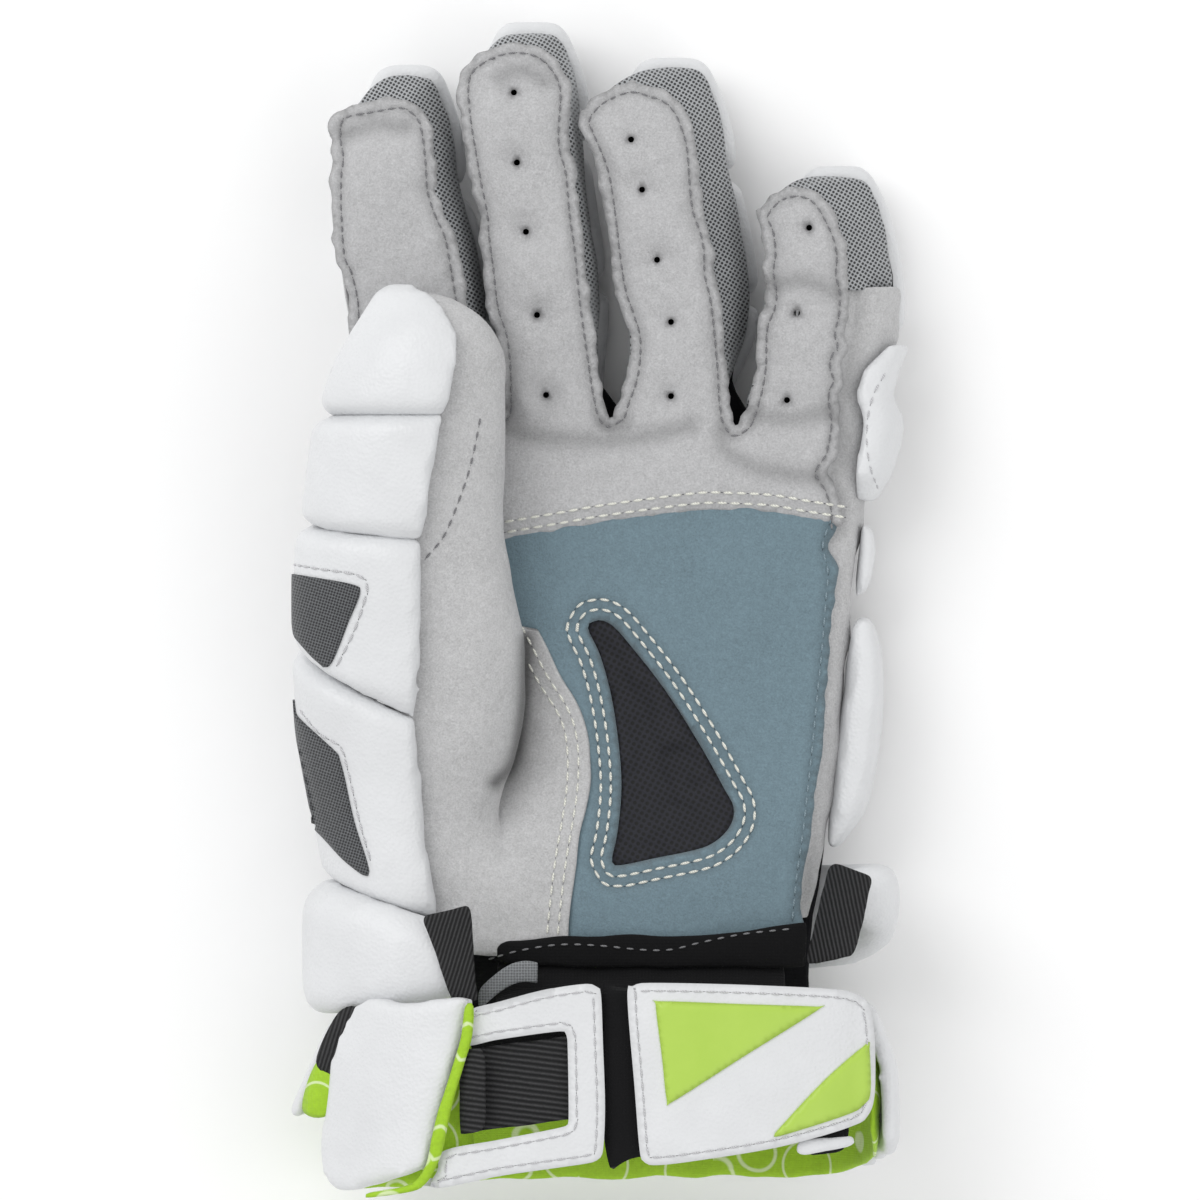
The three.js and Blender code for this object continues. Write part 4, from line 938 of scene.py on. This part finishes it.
# Palm patch.
# Slate blue microsuede over the middle of the palm, with a wavy raw edge on the little finger's
# side and a cut window that is sewn round with two rows of white thread.
blue_suede = suede_finish("blue_suede", (0.44, 0.525, 0.565))
PATCH_CUT = drafted(
    [(468, 552), (508, 528), (600, 512), (700, 500), (800, 506), (836, 510), (838, 526), (828, 545)]
    + [(834, 558), (838, 572), (835, 598), (831, 622), (829, 660), (825, 702), (822, 742)]
    + [(817, 782), (812, 822), (806, 862), (800, 900), (797, 945), (700, 952), (560, 956)]
    + [(562, 930), (565, 860), (574, 790), (573, 752), (560, 712), (540, 675), (508, 632)]
    + [(484, 600)]
)
WINDOW_CUT = drafted(
    [(588, 628), (595, 621), (604, 621), (614, 627), (630, 645), (665, 690), (700, 745)]
    + [(725, 790), (733, 805), (733, 819), (725, 833), (711, 844), (694, 850), (655, 858)]
    + [(619, 865), (612, 860), (617, 835), (621, 800), (621, 770), (617, 730), (610, 690)]
    + [(600, 655)]
)
window_edge = along(WINDOW_CUT, 0.0014, closed=True)
patch_edge = wavy(along(PATCH_CUT, 0.0015, closed=True), 0.0007, 0.004, 4.0)
PATCH_SEAM = drafted(
    [(831, 520), (823, 545), (828, 572), (826, 600), (822, 650), (817, 700), (811, 760), (803, 830)]
    + [(796, 880), (790, 940)]
)
WINDOW_ROWS = [beside(WINDOW_CUT, -0.0030, True), beside(WINDOW_CUT, -0.0058, True)]
patch = cut_cloth(
    "palm_patch",
    patch_edge,
    seen_from_above("palm_patch", "palm_mesh", blur=0.004),
    openings=[window_edge],
    turn=0.0010,
    turn_width=0.0035,
    ruffle=0.0006,
    seams=[*WINDOW_ROWS, PATCH_SEAM],
    ripple=0.0006,
)
finished(patch, blue_suede, "blue_suede", "palm_patch")
patch_height = seen_from_above(patch, blur=0)
patch_rows = [seam_row(row, patch_height, closed=True) for row in WINDOW_ROWS]
window_stitches = sewn("window_stitches", patch_rows, cream_thread)
slate_thread = thread_finish("slate_thread", (0.52, 0.60, 0.64))
patch_stitches = sewn(
    "patch_stitches",
    [seam_row(PATCH_SEAM, patch_height)],
    slate_thread,
    radius=0.0003,
    length=0.0024,
)
cut_flat(patch, 104, 128, 0.67, "stretched", [front], [window_stitches, patch_stitches])


# Palm mesh.
# A navy stretch mesh sewn behind the window, which airs the palm.
navy_mesh = open_mesh_finish(
    "navy_mesh", (0.115, 0.12, 0.155), (0.02, 0.02, 0.028), 0.0016, hole_size=0.34, turn=0.5
)
mesh_edge = along(beside(WINDOW_CUT, -0.0042, True)[::3], 0.0016, closed=True)
mesh_height = seen_from_above("palm_mesh", blur=0.003)
palm_mesh = cut_cloth(
    "palm_mesh",
    mesh_edge,
    lambda x, y: min(mesh_height(x, y), patch_height(x, y) - 0.0018),
    turn=0,
    folds=[drafted([(625, 700), (660, 760), (700, 815)]), drafted([(640, 820), (680, 800)])],
    fold_depth=0.0006,
    fold_width=0.004,
    ripple=0.0005,
    wall=0.0009,
)
finished(palm_mesh, navy_mesh, "palm_mesh", "palm_mesh")
cut_flat(palm_mesh, 50, 77, 0.64, "stretched", [patch])


# Thumb.
# A suede tube that leans out of the palm; below it the same cut runs on as the gusset that joins
# the thumb to the patch. Sections: place along the hand, middle, half width, height, half depth.
THUMB_SECTIONS = np.array(
    [
        (-98.5, -47.7, 15.5, 34.5, 16.5),
        (-84.8, -47.7, 16.4, 35.2, 16.9),
        (-69.2, -47.7, 19.3, 35.4, 18.0),
        (-52.8, -47.7, 22.3, 37.4, 18.0),
        (-32.9, -47.7, 26.2, 42.8, 18.0),
        (-10.4, -47.7, 26.5, 48.5, 16.9),
        (12.1, -49.8, 24.1, 53.5, 16.0),
        (34.6, -49.0, 22.0, 58.4, 15.5),
        (57.1, -46.9, 20.4, 61.2, 15.0),
        (70.0, -44.6, 17.5, 62.6, 13.0),
        (78.7, -45.2, 13.2, 63.2, 9.8),
        (84.6, -48.0, 6.5, 63.4, 5.0),
        (86.2, -49.0, 1.0, 63.4, 0.8),
    ]
)
GUSSET_CUT = np.array(
    drafted(
        [(508, 590), (530, 620), (555, 668), (575, 700), (585, 725), (589, 755), (588, 790)]
        + [(583, 825), (577, 860), (572, 900), (566, 962)]
    )
)
THUMB_ROWS = 120
ARC_COLUMNS = 40
WEB_COLUMNS = 26


def thumb_section(y):
    """The middle, half width, height and half depth of the thumb at a place along the hand."""
    rows = THUMB_SECTIONS / 1000
    smooth = along(rows, 0.002)
    return [float(np.interp(y, smooth[:, 0], smooth[:, k])) for k in range(1, 5)]


gusset_line = along(GUSSET_CUT, 0.0015)
gusset_line = gusset_line[np.argsort(gusset_line[:, 1])]
places, quads = [], []
thumb_ys = np.linspace(0.0861, -0.0985, THUMB_ROWS)
for y in thumb_ys:
    middle, half, level, deep = thumb_section(y)
    web = min(max((gusset_line[-1][1] - y) / 0.012, 0.0), 1.0)
    flat = min(max((-0.038 - y) / 0.042, 0.0), 1.0)
    flat = flat * flat * (3 - 2 * flat)
    edge_x = float(np.interp(y, gusset_line[:, 1], gusset_line[:, 0]))
    edge_z = patch_height(edge_x, y) + 0.0014
    left = math.radians(118)
    right = math.radians(-42)
    row = []
    for c in range(ARC_COLUMNS + 1):
        angle = left + (right - left) * c / ARC_COLUMNS
        row.append((middle + half * math.cos(angle), level + deep * math.sin(angle)))
    arc_end = row[-1]
    for c in range(1, WEB_COLUMNS + 1):
        t = c / WEB_COLUMNS
        angle = right - math.radians(110) * t
        closed_x = middle + half * math.cos(angle)
        closed_z = level + deep * math.sin(angle)
        open_x = arc_end[0] + (max(edge_x, arc_end[0] + 0.002) - arc_end[0]) * t
        open_z = arc_end[1] + (edge_z - arc_end[1]) * t**0.8
        row.append((closed_x + (open_x - closed_x) * web, closed_z + (open_z - closed_z) * web))
    if flat:
        count = len(row) - 1
        first_x, first_z = row[0]
        run = [i / count for i in range(count + 1)]
        level_z = level + deep * 0.98
        for i, t in enumerate(run):
            even_x = first_x + (edge_x - first_x) * t
            even_z = level_z + (edge_z - level_z) * t**1.3 + 0.0022 * math.sin(math.pi * t)
            x, z = row[i]
            row[i] = (x + (even_x - x) * flat, z + (even_z - z) * flat)
    for x, z in row:
        spot = Vector((x, y, z))
        soft = noise.noise_vector(spot / 0.016) * 0.0008 + noise.noise_vector(spot / 0.007) * 0.0003
        places.append(spot + soft)
width = ARC_COLUMNS + WEB_COLUMNS + 1
for r in range(THUMB_ROWS - 1):
    for c in range(width - 1):
        i = r * width + c
        quads.append((i, i + 1, i + width + 1, i + width))
thumb = as_object("thumb_suede", ([p[:] for p in places], quads))
shape = bmesh.new()
shape.from_mesh(thumb.data)
if sum(f.normal.z for f in shape.faces) < 0:
    bmesh.ops.reverse_faces(shape, faces=shape.faces)
shape.to_mesh(thumb.data)
shape.free()
# Painted shade along the fold where the thumb meets the web.
fold_line = reach_to([drafted([(527, 640), (525, 690), (520, 735), (512, 765), (496, 782)])])
mark(thumb, "painted_shade", [0.9 * math.exp(-((fold_line(p.x, p.y) / 0.0022) ** 2)) for p in places])
wall_step = thumb.modifiers.new("wall", "SOLIDIFY")
wall_step.thickness = SUEDE_WALL
wall_step.offset = -1
finished(thumb, gray_suede, "suede", "thumb_sleeve", "thumb_gusset")
thumb_height = seen_from_above(thumb, blur=0)
TIP_SEAM = drafted([(481, 424), (476, 450), (470, 474), (460, 503), (446, 536), (430, 556)])
web_edge = gusset_line[::-1][2:-6]
tip_stitches = sewn(
    "thumb_tip_stitches",
    [seam_row(TIP_SEAM, thumb_height)],
    gray_thread,
    length=0.0022,
    radius=0.00034,
)
thumb_rows = [
    seam_row(beside(web_edge[6:], 0.0030), thumb_height),
    seam_row(beside(web_edge[13:], 0.0060), thumb_height),
]
web_stitches = sewn("web_stitches", thumb_rows, cream_thread, radius=0.00034)
cut_flat(thumb, 110, 190, 0.69, "stretched", [patch], [tip_stitches, web_stitches])


# Thumb pads and their vents.
# Curved foam blocks in white leather over the back of the thumb, with deep creases between them,
# and dark woven vents sewn into the outer face of the two base pads.
THUMB_PADS = ["thumb_base_pad_lower", "thumb_base_pad_upper", "thumb_mid_pad", "thumb_tip_pad"]
THUMB_PAD_GROWTH = 1.10


def drawn_together(node):
    """Makes a pad a little longer, so that its neighbours are only a crease away."""
    low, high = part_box(node)
    middle_y = (low.y + high.y) / 2
    return lambda x, y, z: (x, middle_y + (y - middle_y) * THUMB_PAD_GROWTH, z)


thumb_pads = {
    node: sewn_pad(node, white_leather, "pad_leather", voxel=0.002, shaped=drawn_together(node))
    for node in THUMB_PADS
}
vent_weave = open_mesh_finish(
    "vent_weave", (0.40, 0.41, 0.42), (0.13, 0.13, 0.14), 0.0008, hole_size=0.4, turn=0.3
)
VENT_ROWS = {
    "thumb_vent_upper": (
        "thumb_base_pad_upper",
        [(297, 565), (320, 569), (358, 575), (369, 584), (368, 598), (357, 630), (342, 660)],
        [(289, 574), (320, 578), (357, 585), (363, 593), (352, 620), (333, 664), (320, 660)]
        + [(305, 645), (290, 628), (276, 612), (268, 598), (270, 578)],
    ),
    "thumb_vent_lower": (
        "thumb_base_pad_lower",
        [(303, 712), (320, 732), (341, 745), (347, 760), (354, 788), (361, 820), (370, 852)],
        [(283, 700), (291, 705), (300, 717), (338, 751), (342, 760), (346, 774), (356, 820)]
        + [(371, 872), (350, 862), (326, 838), (300, 812), (284, 785), (274, 750), (272, 720)],
    ),
}
VENT_FLATS = {"thumb_vent_upper": (27, 26, 0.60), "thumb_vent_lower": (28, 50, 0.43)}


def wrapped(height):
    """A height over a pad which, beyond its outer edge, runs on down its side."""

    def at(x, y):
        edge = -0.0850 + 0.25 * max(-0.045 - y, 0.0)
        return height(max(x, edge), y) - max(edge - x, 0.0)

    return at


def hugged(made, under, lift):
    """Lays a thin sheet on the nearest skin of another piece."""
    shape = bmesh.new()
    shape.from_mesh(under.data)
    skin = BVHTree.FromBMesh(shape)
    shape.free()
    places = []
    for p in spots(made):
        at, up = skin.find_nearest(Vector(p))[:2]
        places.append(at + up * lift)
    move_to(made, [q[:] for q in places])


for vent_name, (pad_name, row, cut) in VENT_ROWS.items():
    pad = thumb_pads[pad_name]
    vent = cut_cloth(
        vent_name,
        along(drafted(cut), 0.0014, closed=True),
        wrapped(seen_from_above(pad, blur=0)),
        step=0.0014,
        turn=0,
        ripple=0,
        wall=0.0008,
    )
    hugged(vent, pad, 0.0006)
    finished(vent, vent_weave, "vent_mesh", vent_name)
    row = seam_row(drafted(row), seen_from_above(pad, blur=0), lift=0.0002)
    stitches = sewn(vent_name + "_stitches", [row], pale_thread, radius=0.00036)
    cut_flat(vent, *VENT_FLATS[vent_name], "stretched", [pad], [stitches])


# Side panels and side pads.
# Suede walls close the hand on both sides; white foam pads guard the little finger's side.
def tucked_in(x, y, z):
    """The top of the wall runs in under the raw edge of the palm."""
    share = min(max((z - 0.028) / 0.010, 0.0), 1.0) ** 2
    drop = 0.0024 + 0.0020 * min(max((y - 0.018) / 0.006, 0.0), 1.0)
    return (x - 0.0034 * share, y, z - drop * share)


side_panel = soft_cloth(
    "side_panel", gray_suede, "suede", levels=3, ripple=0.0012, shaped=tucked_in
)
cut_flat(side_panel, 28, 185, 0.75, "stretched", [liner, patch])
index_side = soft_cloth("index_side_panel", gray_suede, "suede", levels=2, ripple=0.0008)
cut_flat(index_side, 22, 150, 0.69, "stretched", [liner])


def narrowed(x, y, z):
    return (0.0716 + (x - 0.0716) * 0.55, y, z)


def widened(x, y, z):
    return (x + 0.0012 if x > 0.0715 else x - 0.0008, y, z)


def flap(x, y, z):
    """The upper pad is a half moon that laps over the edge of the suede."""
    inward = (0.0883 - x) / 0.0139
    return (x - 0.0042 * inward, 0.0507 + (y - 0.0507) * 1.09, z + 0.006 * inward)


SIDE_SHAPES = {"side_pad_upper": flap, "side_pad_middle": narrowed, "side_pad_lower": widened}
side_pads = {
    node: sewn_pad(node, white_leather, "pad_leather", voxel=0.0018, shaped=shape_of)
    for node, shape_of in SIDE_SHAPES.items()
}
FLAP_ROW = drafted(
    [(884, 376), (875, 392), (869, 412), (867, 434), (868, 454), (872, 472), (878, 486)]
)
flap_height = seen_from_above(side_pads["side_pad_upper"], blur=0)
sewn(
    "flap_stitches",
    [seam_row(FLAP_ROW, flap_height)],
    pale_thread,
    length=0.0022,
    radius=0.0003,
)


# Palm hem and neck.
# A folded black binding across the heel of the palm, with one row of gray stitches, over the
# stretch cloth that joins the palm to the floating cuff.
black_knit = knit_finish("black_knit", (0.055, 0.055, 0.06), 0.0009)
hem = soft_cloth("palm_hem", black_knit, "binding", levels=2, ripple=0.0006)
neck = soft_cloth("cuff_neck", black_knit, "binding", levels=2, ripple=0.001)
HEM_ROW = drafted(
    [(492, 957), (520, 949), (560, 943), (600, 944), (640, 948), (670, 948), (700, 941), (740, 933)]
    + [(785, 928)]
)
hem_row = seam_row(HEM_ROW, seen_from_above(hem, blur=0))
hem_stitches = sewn("hem_stitches", [hem_row], gray_thread, length=0.0022, radius=0.0003)
cut_flat(hem, 12, 88, 0.83, "folded", [patch], [hem_stitches])
cut_flat(neck, 30, 84, 0.87, "stretched", [hem])


# Wrist roll and elastic loops.
# A thick padded bar round the back and sides of the wrist, held to the palm by ribbed elastic.
def rolled_down(x, y, z):
    """On the thumb's side the roll reaches from the last thumb pad down to the cuff."""
    side = min(max((-0.030 - x) / 0.012, 0.0), 1.0)
    raised_part = side * min(max((x + 0.080) / 0.012, 0.0), 1.0) * min(max((z - 0.02) / 0.02, 0.0), 1.0)
    top_share = min(max((y + 0.110) / 0.025, 0.0), 1.0)
    return (x, y - 0.0058 * side * (-0.073 - y) / 0.037 + 0.0062 * raised_part * top_share, z)


roll = sewn_pad("wrist_roll", white_leather, "pad_leather", voxel=0.003, shaped=rolled_down)


def ribbed_elastic(name, turn, pitch=0.0011):
    """Woven elastic with ribs that run one way, at an angle on the plan, and a painted highlight along
    each rib.
    """
    material, tree, shader = finish_named(name, (0.08, 0.08, 0.085), 0.75, Specular_IOR_Level=0.3)
    place = object_place(tree)
    turned = put(tree, "ShaderNodeMapping", {"Vector": place, "Rotation": (0, 0, turn)})
    ribs = put(
        tree,
        "ShaderNodeTexWave",
        {"Vector": turned.outputs["Vector"], "Scale": 0.314 / pitch, "Distortion": 0.6},
    ).outputs["Fac"]
    fibre = grain(tree, place, 1600, 4)
    dark = between(tree, fibre, (0.035, 0.035, 0.04), (0.07, 0.07, 0.075))
    # Painted highlight on the rib tops, mixed in with the rib wave.
    pale = between(tree, fibre, (0.15, 0.15, 0.155), (0.30, 0.30, 0.305))
    tree.links.new(between(tree, ribs, dark, pale), shader.inputs["Base Color"])
    normal = raised(tree, ribs, 0.0005, 0.9)
    tree.links.new(raised(tree, fibre, 0.00012, 0.6, normal), shader.inputs["Normal"])
    return material


def drawn_down(x, y, z):
    inner = min(max((0.069 - x) / 0.009, 0.0), 1.0)
    return (x - 0.003 * inner, -0.072 + (y + 0.072) * 1.3, z - 0.0035 * inner)


def drawn_up(x, y, z):
    return (x, -0.111 + (y + 0.111) * 1.2, z)


LOOPS = {"elastic_loop_thumb": (0.3, drawn_up), "elastic_loop_little": (-0.2, drawn_down)}
for node, (turn, shape_of) in LOOPS.items():
    weave = ribbed_elastic(node + "_weave", turn)
    loop = soft_cloth(node, weave, "elastic", levels=3, ripple=0.0004, shaped=shape_of)
    cut_flat(loop, 15, 31, 0.80, "stretched", [roll, hem])


# Cuff.
# Bright green knit lining inside, with white padded panels sewn on outside.
def lining_finish(name, colour):
    """A smooth knit printed with a lattice of thin white rings."""
    material, tree, shader = finish_named(name, colour, 0.62, Sheen_Weight=0.1)
    place = object_place(tree)
    cell = put(
        tree,
        "ShaderNodeTexVoronoi",
        {"Vector": place, "Scale": 62, "Randomness": 0.75},
    ).outputs["Distance"]
    ring = put(tree, "ShaderNodeMath", {0: cell, 1: 0.46}, operation="SUBTRACT").outputs[0]
    thin = put(tree, "ShaderNodeMath", {0: ring}, operation="ABSOLUTE").outputs[0]
    line = put(tree, "ShaderNodeMapRange", {"Value": thin, 1: 0.012, 2: 0.03, 3: 0.85, 4: 0.0})
    loops = put(
        tree, "ShaderNodeTexVoronoi", {"Vector": place, "Scale": 1500, "Randomness": 0.1}
    ).outputs["Distance"]
    fibre = grain(tree, place, 900, 4)
    green = between(tree, fibre, [c * 0.9 for c in colour], [min(c * 1.07, 1) for c in colour])
    inked_on = between(tree, line.outputs["Result"], green, (0.86, 0.92, 0.72))
    tree.links.new(inked_on, shader.inputs["Base Color"])
    normal = raised(tree, loops, 0.0002, 0.6)
    tree.links.new(raised(tree, grain(tree, place, 120), 0.0008, 0.5, normal), shader.inputs["Normal"])
    return material


green_lining = lining_finish("green_lining", (0.62, 0.79, 0.10))
lining = soft_cloth("cuff_lining", green_lining, "lining", levels=2, ripple=0.0012)


def slanted(x, y, z):
    """The thumb panel leans over, so that its top lies nearer to the middle of the wrist."""
    up = (y + 0.164) / 0.048
    inner = min(max((x + 0.082) / 0.037, 0.0), 1.0)
    top = up * up * (0.0034 + 0.0044 * inner)
    corner = up * up * (1 - inner)
    side = 0.0112 * up - 0.0045 * inner * (1 - up) - 0.0045 * corner
    return (x + side, y + top + 0.003 * corner, z)


def raised_end(x, y, z):
    """The little finger's panel runs up behind the label."""
    up = min(max((y + 0.136) / 0.017, 0.0), 1.0)
    return (x - 0.008 * up * up, y + 0.0085 * up, z)


def leant(x, y, z):
    """The corner panel leans the same way as the thumb panel."""
    return (x + 0.0042 + 0.44 * (y + 0.117), y, z)


CUFF_SHAPES = {
    "cuff_back_panel": None,
    "cuff_little_panel": raised_end,
    "cuff_corner_panel": leant,
    "cuff_thumb_panel": slanted,
}
cuff_panels = {
    node: sewn_pad(node, white_leather, "pad_leather", rounds=3, shaped=shape_of)
    for node, shape_of in CUFF_SHAPES.items()
}
RIM_CUT = drafted(
    [(467, 1001), (475, 1000), (474, 1030), (466, 1058), (456, 1092), (450, 1118), (445, 1142)]
    + [(438, 1160), (428, 1176), (414, 1184), (372, 1190), (372, 1186), (408, 1179), (420, 1171)]
    + [(429, 1155), (434, 1130), (440, 1105), (446, 1087), (456, 1055), (463, 1030)]
)
rim = cut_cloth(
    "cuff_rim",
    along(RIM_CUT, 0.0012, closed=True),
    lambda x, y: 0.0808 - 0.12 * max(-0.145 - y, 0.0),
    step=0.0014,
    turn=0.0006,
    turn_width=0.0016,
    ripple=0.0003,
    wall=0.0014,
)
finished(rim, green_lining, "lining")
CORNER_CUTS = {
    "corner_elastic": [(340, 1010), (362, 1010), (345, 1069), (317, 1061)],
    "corner_lining": [(318, 1060), (341, 1068), (330, 1112), (303, 1108)],
}
CORNER_HEIGHTS = {"corner_elastic": 0.0500, "corner_lining": 0.0492}
corner_weave = ribbed_elastic("corner_weave", 0.3)
corners = []
for corner_name, cut in CORNER_CUTS.items():
    piece = cut_cloth(
        corner_name,
        along(drafted(cut), 0.0014, closed=True),
        lambda x, y: CORNER_HEIGHTS[corner_name] + (x + 0.084) * 0.7,
        turn=0.001,
        ripple=0.0002,
        wall=0.001,
    )
    elastic_one = corner_name == "corner_elastic"
    finished(piece, corner_weave if elastic_one else green_lining, "elastic" if elastic_one else "lining")
    corners.append(piece)
cut_flat(
    lining, 48, 290, 0.79, "stretched", list(cuff_panels.values()), [rim, *corners]
)


# Strap over the cuff.
# A white leather frame with a slot, through which a ribbed elastic folds back on itself.
FRAME_CUT = drafted(
    [(470, 1006), (500, 997), (545, 985), (585, 979), (597, 982), (601, 990), (603, 1040)]
    + [(605, 1100), (603, 1143), (598, 1152), (588, 1156), (540, 1163), (500, 1169), (436, 1181)]
    + [(440, 1162), (446, 1144), (500, 1133), (560, 1121), (567, 1117), (569, 1110), (568, 1040)]
    + [(566, 1029), (558, 1026), (500, 1034), (468, 1040), (466, 1024)]
)


def leather_strap(node, cut, wall=0.0022, corner=0.0013):
    """A flat strap of coated leather with crisp edges, sewn round inside its border."""
    height = seen_from_above(node, blur=0.004)
    made = cut_cloth(
        node,
        along(cut, corner, closed=True),
        height,
        step=0.0016,
        turn=0.0005,
        turn_width=0.0012,
        ripple=0.0003,
        wall=wall,
    )
    applied(made)
    made.data.set_sharp_from_angle(angle=math.radians(50))
    finished(made, white_leather, "strap_leather", node)
    made_height = seen_from_above(made, blur=0)
    border = seam_row(beside(cut, 0.0022, True), made_height, closed=True)
    return made, [sewn(node + "_stitches", [border], pale_thread, radius=0.0003)]


strap_frame, frame_stitches = leather_strap("strap_frame", FRAME_CUT)
strap_weave = ribbed_elastic("strap_weave", math.radians(97), 0.0015)
strap_elastic = soft_cloth("strap_elastic", strap_weave, "elastic", levels=3, ripple=0.0003)
cut_flat(strap_frame, 50, 60, 0.47, "laid", [strap_elastic, neck], frame_stitches)
cut_flat(strap_elastic, 30, 42, 0.89, "folded", [cuff_panels["cuff_thumb_panel"]])

# Loop pad.
# Black brushed loop cloth under the label, which the hooks of the strap grip.
LOOP_CUT = drafted([(601, 990), (628, 984), (800, 992), (800, 1125), (641, 1150), (607, 1151)])
loop_pad = cut_cloth(
    "loop_pad",
    along(LOOP_CUT, 0.0015, closed=True),
    seen_from_above("loop_pad", blur=0.003),
    turn=0.0008,
    wall=0.0012,
)
loop_cloth = knit_finish("loop_cloth", (0.06, 0.06, 0.065), 0.0009)
finished(loop_pad, loop_cloth, "hook_and_loop", "loop_pad")
cut_flat(loop_pad, 52, 62, 0.90, "laid", [neck])

# Label.
# A broad white leather tab with two raised green rubber fields and a bare white band between.
LABEL_CUT = drafted(
    [(627, 990), (634, 981), (650, 978), (740, 980), (830, 985), (858, 992), (868, 1005)]
    + [(872, 1030), (873, 1060), (872, 1092), (866, 1110), (850, 1121), (780, 1140), (700, 1153)]
    + [(655, 1158), (643, 1154), (639, 1142), (634, 1080)]
)
label, label_stitches = leather_strap("label_base", LABEL_CUT, wall=0.002)
label_height = seen_from_above(label, blur=0.001)
green_rubber, tree, shader = finish_named("green_rubber", (0.68, 0.81, 0.31), 0.42)
rubber_place = object_place(tree)
rubber_clouds = grain(tree, rubber_place, 90)
tree.links.new(
    between(tree, rubber_clouds, (0.655, 0.79, 0.29), (0.70, 0.825, 0.335)),
    shader.inputs["Base Color"],
)
tree.links.new(raised(tree, grain(tree, rubber_place, 1400), 0.00006, 0.6), shader.inputs["Normal"])
FIELD_CUTS = {
    "label_field_upper": [(655, 1000), (659, 996), (740, 999), (812, 1002), (816, 1005), (740, 1052)]
    + [(672, 1095), (666, 1094), (661, 1050)],
    "label_field_lower": [(864, 1040), (867, 1045), (868, 1088), (861, 1100), (846, 1109)]
    + [(780, 1129), (773, 1128), (780, 1119), (822, 1075)],
}
fields = []
for node, cut in FIELD_CUTS.items():
    field = cut_cloth(
        node,
        along(drafted(cut), 0.0011, closed=True),
        label_height,
        step=0.0014,
        turn=0.0006,
        turn_width=0.0012,
        ripple=0,
        wall=0.0011,
        lift=0.001,
    )
    finished(field, green_rubber, "label_field", node)
    fields.append(field)
cut_flat(label, 52, 70, 0.88, "laid", [loop_pad], [*label_stitches, *fields])

# Closure tab, hook strip and ribbon loop.
# The inner end of the strap shows below the label; a folded tape holds the strap to the hem.
def pulled_out(x, y, z):
    return (0.062 + (x - 0.062) * 1.15, -0.1445 + (y + 0.1450) * 1.35, z)


def moved_up(x, y, z):
    return (x + 0.0004, y + 0.0040, z + 0.0006)


hook_strip = soft_cloth(
    "hook_strip", loop_cloth, "hook_and_loop", levels=2, ripple=0.0002, shaped=pulled_out
)
cut_flat(hook_strip, 13, 20, 0.85, "laid", [label])
closure_tab = soft_cloth(
    "closure_tab", white_leather, "strap_leather", levels=2, ripple=0.0002, shaped=moved_up
)
cut_flat(closure_tab, 10, 10, 0.80, "laid", [hook_strip])
ribbon_weave = open_mesh_finish(
    "ribbon", (0.57, 0.58, 0.59), (0.40, 0.41, 0.42), 0.0008, hole_size=0.4
)
ribbon = soft_cloth("ribbon_loop", ribbon_weave, "ribbon", levels=2, ripple=0.0003)
cut_flat(ribbon, 10, 18, 0.67, "folded", [hem, strap_frame])

bpy.context.view_layer.update()
